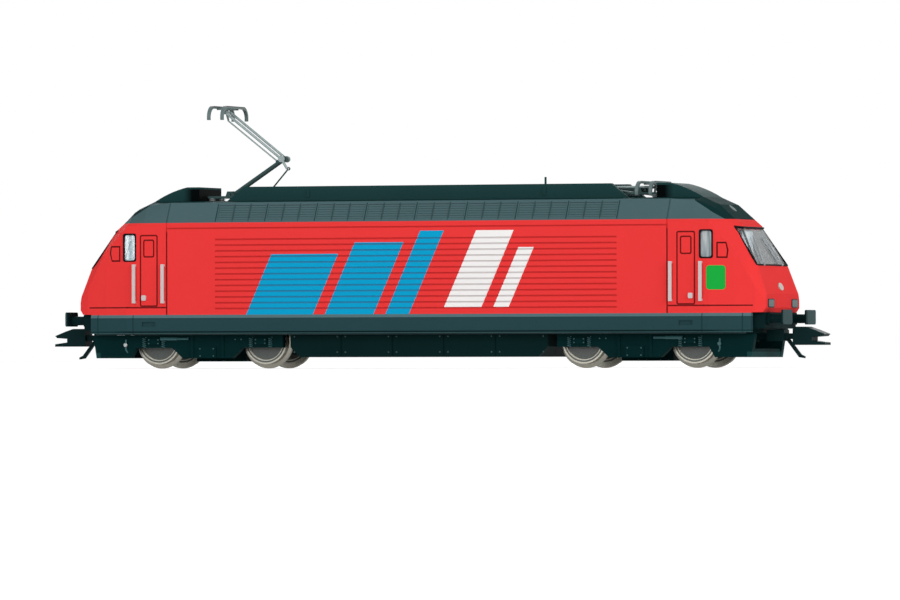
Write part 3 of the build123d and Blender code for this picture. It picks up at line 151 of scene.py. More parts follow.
def make_paint_film():
    """Shader group: the mottle, fine grain and gloss variation of a thin sprayed or moulded skin."""
    group = bpy.data.node_groups.new("PaintFilm", "ShaderNodeTree")
    group.interface.new_socket("Colour", in_out="INPUT", socket_type="NodeSocketColor")
    group.interface.new_socket("Mottle", in_out="INPUT", socket_type="NodeSocketFloat")
    group.interface.new_socket("Roughness", in_out="INPUT", socket_type="NodeSocketFloat")
    group.interface.new_socket("Grain Scale", in_out="INPUT", socket_type="NodeSocketFloat")
    group.interface.new_socket("Colour", in_out="OUTPUT", socket_type="NodeSocketColor")
    group.interface.new_socket("Roughness", in_out="OUTPUT", socket_type="NodeSocketFloat")
    group.interface.new_socket("Height", in_out="OUTPUT", socket_type="NodeSocketFloat")
    source = group.nodes.new("NodeGroupInput")
    target = group.nodes.new("NodeGroupOutput")
    coordinate = group.nodes.new("ShaderNodeTexCoord")
    cloud = place(group, "ShaderNodeTexNoise", inputs={"Scale": 60.0, "Detail": 3.0})
    grain = place(group, "ShaderNodeTexNoise", inputs={"Detail": 2.0})
    group.links.new(coordinate.outputs["Object"], cloud.inputs["Vector"])
    group.links.new(coordinate.outputs["Object"], grain.inputs["Vector"])
    group.links.new(source.outputs["Grain Scale"], grain.inputs["Scale"])
    centred = math_node(group, "SUBTRACT", cloud.outputs["Fac"], 0.5)
    shift = math_node(group, "MULTIPLY", centred, source.outputs["Mottle"])
    gain = math_node(group, "ADD", shift, 1.0)
    scaled = place(group, "ShaderNodeVectorMath", operation="SCALE")
    group.links.new(source.outputs["Colour"], scaled.inputs[0])
    group.links.new(gain, scaled.inputs["Scale"])
    group.links.new(scaled.outputs[0], target.inputs["Colour"])
    grain_centred = math_node(group, "SUBTRACT", grain.outputs["Fac"], 0.5)
    rough = math_node(group, "MULTIPLY_ADD", grain_centred, GRAIN_ROUGHNESS, source.outputs["Roughness"])
    group.links.new(rough, target.inputs["Roughness"])
    group.links.new(grain.outputs["Fac"], target.inputs["Height"])
    return group


paint_film = make_paint_film()


def film(tree, shader, colour, mottle, roughness, bump, grain_scale=FINE_GRAIN):
    """Places the skin group under a shader, with the bump of its grain."""
    node = tree.nodes.new("ShaderNodeGroup")
    node.node_tree = paint_film
    node.inputs["Mottle"].default_value = mottle
    node.inputs["Grain Scale"].default_value = grain_scale
    if isinstance(roughness, float):
        node.inputs["Roughness"].default_value = roughness
    else:
        tree.links.new(roughness, node.inputs["Roughness"])
    if isinstance(colour, tuple):
        node.inputs["Colour"].default_value = (*colour, 1.0)
    else:
        tree.links.new(colour, node.inputs["Colour"])
    tree.links.new(node.outputs["Colour"], shader.inputs["Base Color"])
    tree.links.new(node.outputs["Roughness"], shader.inputs["Roughness"])
    relief = place(tree, "ShaderNodeBump", inputs={"Strength": bump, "Distance": 0.0001})
    tree.links.new(node.outputs["Height"], relief.inputs["Height"])
    tree.links.new(relief.outputs["Normal"], shader.inputs["Normal"])


def plain_finish(name, colour, roughness=0.5, metallic=0.0, mottle=0.25, bump=0.15, sheen=0.02):
    """A one-colour finish with the skin's mottle and grain."""
    material, tree, shader = new_material(name)
    shader.inputs["Metallic"].default_value = metallic
    shader.inputs["Specular IOR Level"].default_value = sheen
    film(tree, shader, colour, mottle, roughness, bump)
    return material


def dress(material, *names):
    """Puts a material in every slot of the named CAD nodes."""
    for name in names:
        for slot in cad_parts[name].material_slots:
            slot.material = material


# Side walls: where the cab's cheeks start to draw in, how fast, and the grooves with their dark wash
CHEEK_START = 85.9
CHEEK_DRAW = 0.121
CHEEK_FALL = 1.047
EAVES = WALL_TOP - 1.2
FLAT_END = CHEEK_START - 0.05
GROOVE_WASH = (0.105, 0.010, 0.010)
GROOVE_DEPTH = (0.1, 0.35)
WASH_STRENGTH = 0.85
FAINT_LOSS = 0.55
RIBS_END = 61.0
TOP_GROOVE = 36.8
CHEEK_MARK_RUN = (87.3, 92.2)
CHEEK_MARK_RISE = (27.5, 33.3)
LOW_SEAM = (15.62, 15.98)
LOW_SEAM_RUN = (CHEEK_START - 0.1, 98.0)
LOW_SEAM_SIDE = 14.6
GREEN_CENTRE = (87.85, 23.4)
GREEN_HALF = (2.7, 3.3)
GREEN_CORNER = 0.9
# Sills: bevel and lip with painted highlights, the painted shadow line over the lip and the upright joints
SILL_BEVEL = 0.85
SILL_LIP_TOP = 8.8
SILL_GAP = (8.72, 9.18)
SILL_JOINTS = (95.2, 84.0)
SILL_JOINT_HALF = 0.14
SILL_GAP_SHADE = 0.8
# Roof: the slope over each cab, the deck, and the joint lines of the shoulder panels and bays
ROOF_TOP = 45.6
SLOPE_START = 78.6
SLOPE_RUN = 1.62
DECK_HEIGHT = 44.9
DECK_SIDE = 13.9
PANEL_PITCH = 14.825
PANEL_JOINT = 0.18
PANEL_SHADE = 0.75
BAY_EDGE = 5.025
BAY_JOINT = 0.17
BAY_SHADE = 0.55
SHOULDER_END = 4 * PANEL_PITCH + 1.0
SHOULDER_RISE = (WALL_TOP + 0.25, 44.6)
# Inside: where faces turned inwards are bare, and how far in they lie
CAB_START = 88.0
CEILING = 41.0
TURNED_IN = -0.35
SKIN = 0.7

shell_paint, tree, shader = new_material("shell_paint")
along, across, height = millimetres(tree)
reach = math_node(tree, "ABSOLUTE", along)
width = math_node(tree, "ABSOLUTE", across)
over_sill = math_node(tree, "SUBTRACT", height, SILL_TOP)
slanted = math_node(tree, "MULTIPLY_ADD", over_sill, -PRINT_SLANT, along)
colour = RED
on_wall = math_node(tree, "GREATER_THAN", width, WALL_FACE - PRINT_DEPTH)
for band_colour, left, right, foot, head in PRINT_BANDS:
    band = both(
        tree,
        between(tree, slanted, left, right),
        between(tree, height, foot, head),
        on_wall,
    )
    colour = mix_colour(tree, band, colour, band_colour)
plate = rounded_mask(tree, along, height, GREEN_CENTRE, GREEN_HALF, GREEN_CORNER)
near_side = math_node(tree, "LESS_THAN", across, 0.0)
colour = mix_colour(tree, both(tree, plate, near_side), colour, PLATE_GREEN)
wash_depth = between(tree, width, WALL_FACE - GROOVE_DEPTH[1], WALL_FACE - GROOVE_DEPTH[0])
flat_wall = both(
    tree,
    math_node(tree, "LESS_THAN", reach, FLAT_END),
    math_node(tree, "LESS_THAN", height, EAVES),
)
ribbed = math_node(tree, "LESS_THAN", reach, RIBS_END)
faint = math_node(tree, "MAXIMUM", ribbed, math_node(tree, "GREATER_THAN", height, TOP_GROOVE))
wash_strength = math_node(tree, "MULTIPLY_ADD", faint, -FAINT_LOSS, WASH_STRENGTH)
wash = both(tree, wash_depth, flat_wall, wash_strength)
colour = mix_colour(tree, wash, colour, GROOVE_WASH)
cheek_run = math_node(tree, "SUBTRACT", reach, CHEEK_START)
cheek_face = math_node(tree, "MULTIPLY_ADD", cheek_run, -CHEEK_DRAW, WALL_FACE)
cheek_sink = math_node(tree, "SUBTRACT", cheek_face, width)
cheek_top = math_node(tree, "MULTIPLY_ADD", cheek_run, -CHEEK_FALL, EAVES)
cheek_wash = both(
    tree,
    between(tree, cheek_sink, *GROOVE_DEPTH),
    between(tree, reach, *CHEEK_MARK_RUN),
    between(tree, height, *CHEEK_MARK_RISE),
    math_node(tree, "LESS_THAN", height, cheek_top),
)
colour = mix_colour(tree, cheek_wash, colour, GROOVE_WASH)
low_seam = both(
    tree,
    between(tree, height, *LOW_SEAM),
    between(tree, reach, *LOW_SEAM_RUN),
    math_node(tree, "GREATER_THAN", width, LOW_SEAM_SIDE),
)
colour = mix_colour(tree, low_seam, colour, GROOVE_WASH)
# Painted highlights: the top bevel and the lip below the groove are coloured lighter than the sill; the
# dark line over the lip is painted shadow, the uprights are joints.
on_bevel = math_node(tree, "GREATER_THAN", height, SILL_TOP - SILL_BEVEL)
sill_colour = mix_colour(tree, on_bevel, SILL_GREY, SILL_BEVEL_HIGHLIGHT)
on_lip = math_node(tree, "LESS_THAN", height, SILL_LIP_TOP)
sill_colour = mix_colour(tree, on_lip, sill_colour, SILL_LIP_HIGHLIGHT)
sill_gap = between(tree, height, *SILL_GAP)
for joint in SILL_JOINTS:
    upright = between(tree, reach, joint - SILL_JOINT_HALF, joint + SILL_JOINT_HALF)
    sill_gap = math_node(tree, "MAXIMUM", sill_gap, upright)
sill_shade = math_node(tree, "MULTIPLY", sill_gap, SILL_GAP_SHADE)
sill_colour = mix_colour(tree, sill_shade, sill_colour, ROOF_DARK)
above_sill = math_node(tree, "GREATER_THAN", height, SILL_TOP)
colour = mix_colour(tree, above_sill, sill_colour, colour)
above_wall = math_node(tree, "GREATER_THAN", height, WALL_TOP)
roof_fall = math_node(tree, "SUBTRACT", ROOF_TOP, height)
slope_edge = math_node(tree, "MULTIPLY_ADD", roof_fall, SLOPE_RUN, SLOPE_START)
on_slope = math_node(tree, "GREATER_THAN", reach, slope_edge)
on_deck = both(
    tree,
    math_node(tree, "GREATER_THAN", height, DECK_HEIGHT),
    math_node(tree, "LESS_THAN", width, DECK_SIDE),
)
dark_roof = math_node(tree, "MAXIMUM", on_slope, on_deck)
roof_colour = mix_colour(tree, dark_roof, SHOULDER_GREY, ROOF_DARK)
from_joint = math_node(tree, "PINGPONG", along, PANEL_PITCH / 2)
at_panel = math_node(tree, "LESS_THAN", from_joint, PANEL_JOINT)
panel_joint = math_node(tree, "MULTIPLY", at_panel, PANEL_SHADE)
at_bay = between(tree, from_joint, BAY_EDGE - BAY_JOINT, BAY_EDGE + BAY_JOINT)
bay_joint = math_node(tree, "MULTIPLY", at_bay, BAY_SHADE)
shoulder_joint = both(
    tree,
    math_node(tree, "MAXIMUM", panel_joint, bay_joint),
    math_node(tree, "LESS_THAN", reach, SHOULDER_END),
    between(tree, height, *SHOULDER_RISE),
)
roof_colour = mix_colour(tree, shoulder_joint, roof_colour, ROOF_DARK)
colour = mix_colour(tree, above_wall, colour, roof_colour)
facing = tree.nodes.new("ShaderNodeTexCoord")
face_axes = tree.nodes.new("ShaderNodeSeparateXYZ")
tree.links.new(facing.outputs["Normal"], face_axes.inputs[0])
outward = math_node(tree, "MULTIPLY", face_axes.outputs["Y"], math_node(tree, "SIGN", across))
end_facing = math_node(tree, "MULTIPLY", face_axes.outputs["X"], math_node(tree, "SIGN", along))
in_cab_nose = math_node(tree, "GREATER_THAN", reach, CAB_START)
under_roof = math_node(tree, "GREATER_THAN", height, CEILING)
outward = math_node(tree, "MULTIPLY_ADD", end_facing, in_cab_nose, outward)
outward = math_node(tree, "MULTIPLY_ADD", face_axes.outputs["Z"], under_roof, outward)
inner_skin = both(
    tree,
    math_node(tree, "LESS_THAN", outward, TURNED_IN),
    math_node(tree, "LESS_THAN", width, WALL_FACE - SKIN),
)
colour = mix_colour(tree, inner_skin, colour, BARE_CASTING)
shader.inputs["Specular IOR Level"].default_value = 0.005
film(tree, shader, colour, mottle=0.05, roughness=0.50, bump=0.05)
dress(shell_paint, "body_shell")

# Roof-shoulder louvres. Fine slats of the air intakes, moulded in the shell's shoulder pockets.
# Six slats fill each of the twenty-four bays of a side, tilted like shingles.
BAY_COUNT = 3
PANEL_COUNT = 8
BAY_PITCH = 4.775
SLAT_COUNT = 6
SLAT_PITCH = 0.74
SLAT_SINK = 0.16
SLAT_LEAN = 10.0
SHOULDER_MIDDLE = (15.7, 42.175)
SHOULDER_TURN = 62.0
LOUVRE_GREY = (0.070, 0.125, 0.134)


def at(along, across, height):
    """A point given in millimetres, with its height above the rail, in metres."""
    return Vector((along, across, height + RAIL)) * 0.001


def make_growth_tree(name, sizes, build):
    """A Geometry Nodes tree that sets one shape on every point, turned by the point's own angles."""
    tree = bpy.data.node_groups.new(name, "GeometryNodeTree")
    tree.interface.new_socket("Geometry", in_out="INPUT", socket_type="NodeSocketGeometry")
    for size in sizes:
        tree.interface.new_socket(size, in_out="INPUT", socket_type="NodeSocketFloat")
    tree.interface.new_socket("Finish", in_out="INPUT", socket_type="NodeSocketMaterial")
    tree.interface.new_socket("Geometry", in_out="OUTPUT", socket_type="NodeSocketGeometry")
    source = tree.nodes.new("NodeGroupInput")
    target = tree.nodes.new("NodeGroupOutput")
    shape = build(tree, source)
    turn = tree.nodes.new("GeometryNodeInputNamedAttribute")
    turn.data_type = "FLOAT_VECTOR"
    turn.inputs["Name"].default_value = "turn"
    spread = tree.nodes.new("GeometryNodeInstanceOnPoints")
    realize = tree.nodes.new("GeometryNodeRealizeInstances")
    finish = tree.nodes.new("GeometryNodeSetMaterial")
    tree.links.new(source.outputs["Geometry"], spread.inputs["Points"])
    tree.links.new(shape, spread.inputs["Instance"])
    tree.links.new(turn.outputs["Attribute"], spread.inputs["Rotation"])
    tree.links.new(spread.outputs["Instances"], realize.inputs["Geometry"])
    tree.links.new(realize.outputs["Geometry"], finish.inputs["Geometry"])
    tree.links.new(source.outputs["Finish"], finish.inputs["Material"])
    tree.links.new(finish.outputs["Geometry"], target.inputs["Geometry"])
    return tree


def settle(name, mesh, body):
    """Links a finished mesh as a piece that rides on a body."""
    piece = bpy.data.objects.new(name, mesh)
    bpy.context.collection.objects.link(piece)
    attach(piece, body)


def grow(name, tree, spots, sizes, material, body):
    """Dresses points and their turns by a tree, and keeps the result as a plain mesh."""
    seed = bpy.data.meshes.new(name + "_spots")
    seed.from_pydata([spot for spot, turn in spots], [], [])
    turns = seed.attributes.new("turn", "FLOAT_VECTOR", "POINT")
    for item, spot in zip(turns.data, spots):
        item.vector = spot[1]
    holder = bpy.data.objects.new(name + "_spots", seed)
    bpy.context.collection.objects.link(holder)
    modifier = holder.modifiers.new("growth", "NODES")
    modifier.node_group = tree
    for socket in tree.interface.items_tree:
        if socket.in_out == "INPUT" and socket.name in sizes:
            modifier[socket.identifier] = sizes[socket.name]
        if socket.in_out == "INPUT" and socket.name == "Finish":
            modifier[socket.identifier] = material
    graph = bpy.context.evaluated_depsgraph_get()
    mesh = bpy.data.meshes.new_from_object(holder.evaluated_get(graph))
    holder.modifiers.remove(modifier)
    bpy.data.objects.remove(holder)
    mesh.name = name
    settle(name, mesh, body)


def build_slat(tree, source):
    """A flat bar of three sizes."""
    sizes = tree.nodes.new("ShaderNodeCombineXYZ")
    for axis, size in (("X", "Length"), ("Y", "Width"), ("Z", "Thickness")):
        tree.links.new(source.outputs[size], sizes.inputs[axis])
    bar = tree.nodes.new("GeometryNodeMeshCube")
    tree.links.new(sizes.outputs[0], bar.inputs["Size"])
    return bar.outputs["Mesh"]


slat_tree = make_growth_tree("SlatRow", ("Length", "Width", "Thickness"), build_slat)
louvre_paint = plain_finish("louvre_paint", LOUVRE_GREY, roughness=0.45, mottle=0.15)
spots = []
for turn in (1, -1):
    slope = math.radians(SHOULDER_TURN)
    up = Vector((0, -turn * math.cos(slope), math.sin(slope)))
    out = Vector((0, turn * math.sin(slope), math.cos(slope)))
    middle = Vector((0, turn * SHOULDER_MIDDLE[0], SHOULDER_MIDDLE[1]))
    leaning = (-turn * (slope - math.radians(SLAT_LEAN)), 0, 0)
    for panel in range(PANEL_COUNT):
        panel_centre = (panel - (PANEL_COUNT - 1) / 2) * PANEL_PITCH
        for bay in range(BAY_COUNT):
            centre = panel_centre + (bay - (BAY_COUNT - 1) / 2) * BAY_PITCH
            for slat in range(SLAT_COUNT):
                rise = (slat - (SLAT_COUNT - 1) / 2) * SLAT_PITCH
                point = middle + up * rise - out * SLAT_SINK
                spots.append((at(centre, point.y, point.z), leaning))
slat_sizes = {"Length": 0.00428, "Width": 0.00070, "Thickness": 0.00012}
grow("shoulder_louvres", slat_tree, spots, slat_sizes, louvre_paint, "body")

# Roof mouldings. Cowlings, cab caps and hatch covers are dark matt plastic, clipped onto the deck.
# Small screws hold the hatch covers; each cap's inner end, towards the roof gear, is painted dark as
# shade, deepening to near black.
ROOF_PLASTIC = (0.0130, 0.0460, 0.0470)
CAP_END_SHADE = (0.0012, 0.0022, 0.0023)
HATCH_PLASTIC = (0.018, 0.045, 0.048)
SCREW_GREY = (0.10, 0.13, 0.13)
HATCH_PITCH = 24.93
HATCH_REACH = 10.2
HATCH_SIDE = 3.0
HATCH_TOP = 46.2
END_SHADE_START = 72.6
END_SHADE_FADE = 0.4
LID_HEIGHT = 48.9
HEAD_SIDES = 6
CROWN_TAPER = 0.7
CROWN_SHARE = 0.3


def build_bolt(tree, source):
    """A six-sided head with a chamfered top."""
    shank = place(tree, "GeometryNodeMeshCone", inputs={"Vertices": HEAD_SIDES})
    crown = place(tree, "GeometryNodeMeshCone", inputs={"Vertices": HEAD_SIDES})
    crown_top = math_node(tree, "MULTIPLY", source.outputs["Radius"], CROWN_TAPER)
    crown_depth = math_node(tree, "MULTIPLY", source.outputs["Height"], CROWN_SHARE)
    tree.links.new(source.outputs["Radius"], shank.inputs["Radius Bottom"])
    tree.links.new(source.outputs["Radius"], shank.inputs["Radius Top"])
    tree.links.new(source.outputs["Height"], shank.inputs["Depth"])
    tree.links.new(source.outputs["Radius"], crown.inputs["Radius Bottom"])
    tree.links.new(crown_top, crown.inputs["Radius Top"])
    tree.links.new(crown_depth, crown.inputs["Depth"])
    lifted = tree.nodes.new("GeometryNodeTransform")
    rise = tree.nodes.new("ShaderNodeCombineXYZ")
    tree.links.new(source.outputs["Height"], rise.inputs["Z"])
    tree.links.new(crown.outputs["Mesh"], lifted.inputs["Geometry"])
    tree.links.new(rise.outputs[0], lifted.inputs["Translation"])
    join = tree.nodes.new("GeometryNodeJoinGeometry")
    tree.links.new(shank.outputs["Mesh"], join.inputs[0])
    tree.links.new(lifted.outputs["Geometry"], join.inputs[0])
    return join.outputs[0]


bolt_tree = make_growth_tree("BoltHeads", ("Radius", "Height"), build_bolt)
roof_plastic = plain_finish("roof_plastic", ROOF_PLASTIC, roughness=0.42, mottle=0.2)
dress(roof_plastic, "roof_cowlings")
cap_plastic, tree, shader = new_material("cap_plastic")
along, across, height = millimetres(tree)
# Painted shade: the cap's inner end darkens inwards to near black below the lid.
depth = math_node(tree, "SUBTRACT", END_SHADE_START, math_node(tree, "ABSOLUTE", along))
end_shade = math_node(tree, "MAXIMUM", math_node(tree, "MULTIPLY", depth, END_SHADE_FADE), 0.0)
end_shade = math_node(tree, "MINIMUM", end_shade, 1.0)
below_lid = math_node(tree, "LESS_THAN", height, LID_HEIGHT)
colour = mix_colour(tree, both(tree, end_shade, below_lid), ROOF_PLASTIC, CAP_END_SHADE)
shader.inputs["Specular IOR Level"].default_value = 0.01
film(tree, shader, colour, mottle=0.2, roughness=0.45, bump=0.15)
dress(cap_plastic, "cab_roof_cap_front", "cab_roof_cap_rear")
hatch_plastic = plain_finish("hatch_plastic", HATCH_PLASTIC, roughness=0.5, mottle=0.3)
dress(hatch_plastic, "roof_hatches")
screw_metal = plain_finish("screw_metal", SCREW_GREY, roughness=0.35, metallic=0.6, mottle=0.2)
spots = []
for hatch in (-HATCH_PITCH, 0, HATCH_PITCH):
    for along in (-HATCH_REACH, 0, HATCH_REACH):
        for across in (-HATCH_SIDE, HATCH_SIDE):
            if hatch or along:
                spots.append((at(hatch + along, across, HATCH_TOP), (0, 0, 0)))
screw_sizes = {"Radius": 0.00032, "Height": 0.00014}
grow("hatch_screws", bolt_tree, spots, screw_sizes, screw_metal, "body")

# Glazing. Clear moulded panes pressed into the shell from outside, edged by a thin black seal.
# The side panes are milky, with upright pale and darker streaks.
# Each windscreen has two wipers of thin grey wire on pivots below it.
GLASS_TINT = (0.75, 0.83, 0.87)
GLASS_CLEAR = (0.88, 0.92, 0.93)
PANE_SHADE = (0.36, 0.46, 0.50)
PANE_PALE = (0.86, 0.92, 0.94)
SEAL_BLACK = (0.006, 0.008, 0.009)
WIPER_GREY = (0.34, 0.37, 0.38)
SCREEN_FOOT = (98.59, 26.29)
SCREEN_HEAD = (92.59, 37.59)
SCREEN_MARGIN = 0.6
SCREEN_CORNERS = ((98.31, 12.69, 26.82), (91.25, 11.11, 37.28), (92.87, 8.52, 37.06))
SCREEN_INDEX = 1.30
SCREEN_HAZE = (0.02, 0.005)
SEAL_RADIUS = 0.00027
# Wiper rods: radius in metres, then both ends: place across, edge it is measured from
# (-1 foot, 0 middle, 1 head of the pane), rise from that edge and lift over the pane
WIPER_RODS = (
    (0.00013, (7.6, -1, -0.1, 0.25), (6.9, -1, 2.2, 0.42)),
    (0.00011, (6.9, -1, 2.2, 0.42), (6.1, 0, -0.4, 0.42)),
    (0.00016, (7.6, -1, 1.0, 0.3), (4.6, 1, -2.6, 0.3)),
    (0.0003, (7.6, -1, -0.1, -0.1), (7.6, -1, -0.1, 0.5)),
)
PANE_CENTRE = (85.1, 32.55)
PANE_SIZE = (3.6, 7.5)
PANE_INDEX = 1.45
PANE_HAZE = (0.05, 0.04)
PANE_SEAL_EDGES = (0.20, -0.22)
PANE_SEAL_CORNER = 0.7
PANE_SEAL_DEPTH = (-0.25, 0.07)


def rounded(points, radius, steps=4):
    """Outline of a polygon with its corners rounded off."""
    outline = []
    count = len(points)
    for index in range(count):
        before, corner, after = (Vector(points[(index + shift) % count]) for shift in (-1, 0, 1))
        start = corner + (before - corner).normalized() * radius
        finish = corner + (after - corner).normalized() * radius
        for step in range(steps + 1):
            share = step / steps
            outline.append(start.lerp(corner, share).lerp(corner.lerp(finish, share), share))
    return outline


def ring_mesh(name, outlines, lift, low, high, material):
    """Mesh of flat rings, each between an outer and an inner outline of like point count."""
    shape = bmesh.new()
    for outer, inner in outlines:
        loops = []
        for outline, depth in ((outer, low), (outer, high), (inner, high), (inner, low)):
            loops.append([shape.verts.new(lift(point, depth)) for point in outline])
        count = len(outer)
        for first, second in zip(loops, loops[1:] + loops[:1]):
            for index in range(count):
                after = (index + 1) % count
                shape.faces.new((first[index], first[after], second[after], second[index]))
    bmesh.ops.recalc_face_normals(shape, faces=shape.faces)
    mesh = bpy.data.meshes.new(name)
    shape.to_mesh(mesh)
    shape.free()
    mesh.materials.append(material)
    return mesh


def bar_mesh(name, bars, material, sides=8):
    """Mesh of round bars, each given by its two ends in metres and its radius."""
    shape = bmesh.new()
    for start, finish, radius in bars:
        run = finish - start
        turn = run.to_track_quat("Z", "Y").to_matrix().to_4x4()
        seat = Matrix.Translation((start + finish) / 2) @ turn
        bmesh.ops.create_cone(
            shape,
            cap_ends=True,
            segments=sides,
            radius1=radius,
            radius2=radius,
            depth=run.length,
            matrix=seat,
        )
    mesh = bpy.data.meshes.new(name)
    shape.to_mesh(mesh)
    shape.free()
    mesh.materials.append(material)
    return mesh


def screen_lift(end):
    """Function from a point of a windscreen's plane and a height over it to a place in metres."""
    foot = Vector((SCREEN_FOOT[0], 0, SCREEN_FOOT[1]))
    rise = Vector((SCREEN_HEAD[0], 0, SCREEN_HEAD[1])) - foot
    up = rise.normalized()
    out = Vector((up.z, 0, -up.x))
    middle = foot + rise / 2

    def lift(point, depth):
        spot = middle + up * point[1] + out * depth
        return at(end * spot.x, point[0], spot.z)

    return lift


glazing, tree, shader = new_material("glazing")
shader.inputs["Transmission Weight"].default_value = 0.96
shader.inputs["IOR"].default_value = SCREEN_INDEX
shader.inputs["Specular IOR Level"].default_value = 0.35
coordinate = tree.nodes.new("ShaderNodeTexCoord")
flow = place(tree, "ShaderNodeTexNoise", inputs={"Scale": 140.0, "Detail": 2.0})
tree.links.new(coordinate.outputs["Object"], flow.inputs["Vector"])
haze = math_node(tree, "MULTIPLY_ADD", flow.outputs["Fac"], *SCREEN_HAZE)
tint = mix_colour(tree, flow.outputs["Fac"], GLASS_TINT, GLASS_CLEAR)
tree.links.new(haze, shader.inputs["Roughness"])
tree.links.new(tint, shader.inputs["Base Color"])
dress(glazing, "windscreen_front", "windscreen_rear")
pane_glass, tree, shader = new_material("pane_glass")
shader.inputs["Transmission Weight"].default_value = 0.52
shader.inputs["IOR"].default_value = PANE_INDEX
coordinate = tree.nodes.new("ShaderNodeTexCoord")
stretch = place(tree, "ShaderNodeMapping", inputs={"Scale": (900.0, 900.0, 90.0)})
streaks = place(tree, "ShaderNodeTexNoise", inputs={"Scale": 1.0, "Detail": 2.0})
tree.links.new(coordinate.outputs["Object"], stretch.inputs["Vector"])
tree.links.new(stretch.outputs["Vector"], streaks.inputs["Vector"])
spread = place(tree, "ShaderNodeMapRange", inputs={"From Min": 0.38, "From Max": 0.62})
tree.links.new(streaks.outputs["Fac"], spread.inputs["Value"])
haze = math_node(tree, "MULTIPLY_ADD", streaks.outputs["Fac"], *PANE_HAZE)
tint = mix_colour(tree, spread.outputs["Result"], PANE_SHADE, PANE_PALE)
tree.links.new(haze, shader.inputs["Roughness"])
tree.links.new(tint, shader.inputs["Base Color"])
dress(pane_glass, "side_windows")
seal_rubber = plain_finish("seal_rubber", SEAL_BLACK, roughness=0.45)
wiper_metal = plain_finish("wiper_metal", WIPER_GREY, roughness=0.35, metallic=0.5)
screen_length = math.hypot(SCREEN_FOOT[0] - SCREEN_HEAD[0], SCREEN_HEAD[1] - SCREEN_FOOT[1])
screen_rise = screen_length / 2 - SCREEN_MARGIN
for end, name in ((1, "front"), (-1, "rear")):
    near = [at(end * along, across, height) for along, across, height in SCREEN_CORNERS]
    far = [Vector((point.x, -point.y, point.z)) for point in reversed(near)]
    loop = near + far
    edges = [(start, finish, SEAL_RADIUS) for start, finish in zip(loop, loop[1:] + loop[:1])]
    settle("screen_seal_" + name, bar_mesh("screen_seal", edges, seal_rubber), "body")
    lift = screen_lift(end)
    wipers = []
    for turn in (1, -1):
        for radius, *ends in WIPER_RODS:
            start, finish = (
                lift((turn * across, edge * screen_rise + rise), depth)
                for across, edge, rise, depth in ends
            )
            wipers.append((start, finish, radius))
    settle("wipers_" + name, bar_mesh("wipers", wipers, wiper_metal), "body")

pane_outlines = []
for end in (1, -1):
    middle = Vector((end * PANE_CENTRE[0], PANE_CENTRE[1]))
    pair = []
    for grow_by in PANE_SEAL_EDGES:
        wide, tall = PANE_SIZE[0] / 2 + grow_by, PANE_SIZE[1] / 2 + grow_by
        steps = ((-wide, -tall), (wide, -tall), (wide, tall), (-wide, tall))
        pair.append(rounded([middle + Vector(step) for step in steps], PANE_SEAL_CORNER))
    pane_outlines.append(pair)


def wall_lift(turn):
    """Function from a point of a side wall and a height over it to a place in metres."""

    def lift(point, depth):
        return at(point[0], turn * (WALL_FACE + depth), point[1])

    return lift


for turn, name in ((1, "left"), (-1, "right")):
    mesh = ring_mesh("pane_seal", pane_outlines, wall_lift(turn), *PANE_SEAL_DEPTH, seal_rubber)
    settle("pane_seals_" + name, mesh, "body")

# Lamps. Clear moulded lenses over silvered bowls, two in each nose and one in each roof slope.
# They are ribbed inside, edged dark and pressed into the shell from outside.
LENS_SILVER = (0.13, 0.18, 0.18)
TOP_LENS = (0.050, 0.090, 0.090)
LAMP_EDGE = (0.012, 0.015, 0.016)
LAMP_PLACE = (9.98, 16.4)
LENS_HALF = (2.2, 0.9)
LENS_CORNER = 0.5
LENS_RIBS = 14.0
RIB_SHADE = 0.12
SLOPE_LAMP = 30.0
lamp_lens, tree, shader = new_material("lamp_lens")
along, across, height = millimetres(tree)
width = math_node(tree, "ABSOLUTE", across)
shader.inputs["Coat Weight"].default_value = 0.03
shader.inputs["Specular IOR Level"].default_value = 0.05
inner = rounded_mask(tree, width, height, LAMP_PLACE, LENS_HALF, LENS_CORNER)
upper = math_node(tree, "GREATER_THAN", height, SLOPE_LAMP)
lens = math_node(tree, "MAXIMUM", inner, upper)
ribs = math_node(tree, "SINE", math_node(tree, "MULTIPLY", across, LENS_RIBS))
glow = math_node(tree, "MULTIPLY_ADD", ribs, RIB_SHADE, 1 - RIB_SHADE)
lens = math_node(tree, "MULTIPLY", lens, glow)
colour = mix_colour(tree, lens, LAMP_EDGE, mix_colour(tree, upper, LENS_SILVER, TOP_LENS))
film(tree, shader, colour, mottle=0.1, roughness=0.18, bump=0.05, grain_scale=1500.0)
dress(lamp_lens, "headlamps_front", "headlamps_rear")

# Handrails, door handles and nose plates. Thin moulded bars painted light grey, pressed into the shell;
# the oval plates on the noses are blank.
RAIL_GREY = (0.60, 0.53, 0.53)
PLATE_STEEL = (0.56, 0.50, 0.46)
handrail = plain_finish("handrail", RAIL_GREY, roughness=0.4, mottle=0.15)
dress(handrail, "door_handrails")
nose_plate = plain_finish("nose_plate", PLATE_STEEL, roughness=0.3, metallic=0.4, mottle=0.2)
dress(nose_plate, "nose_plates")
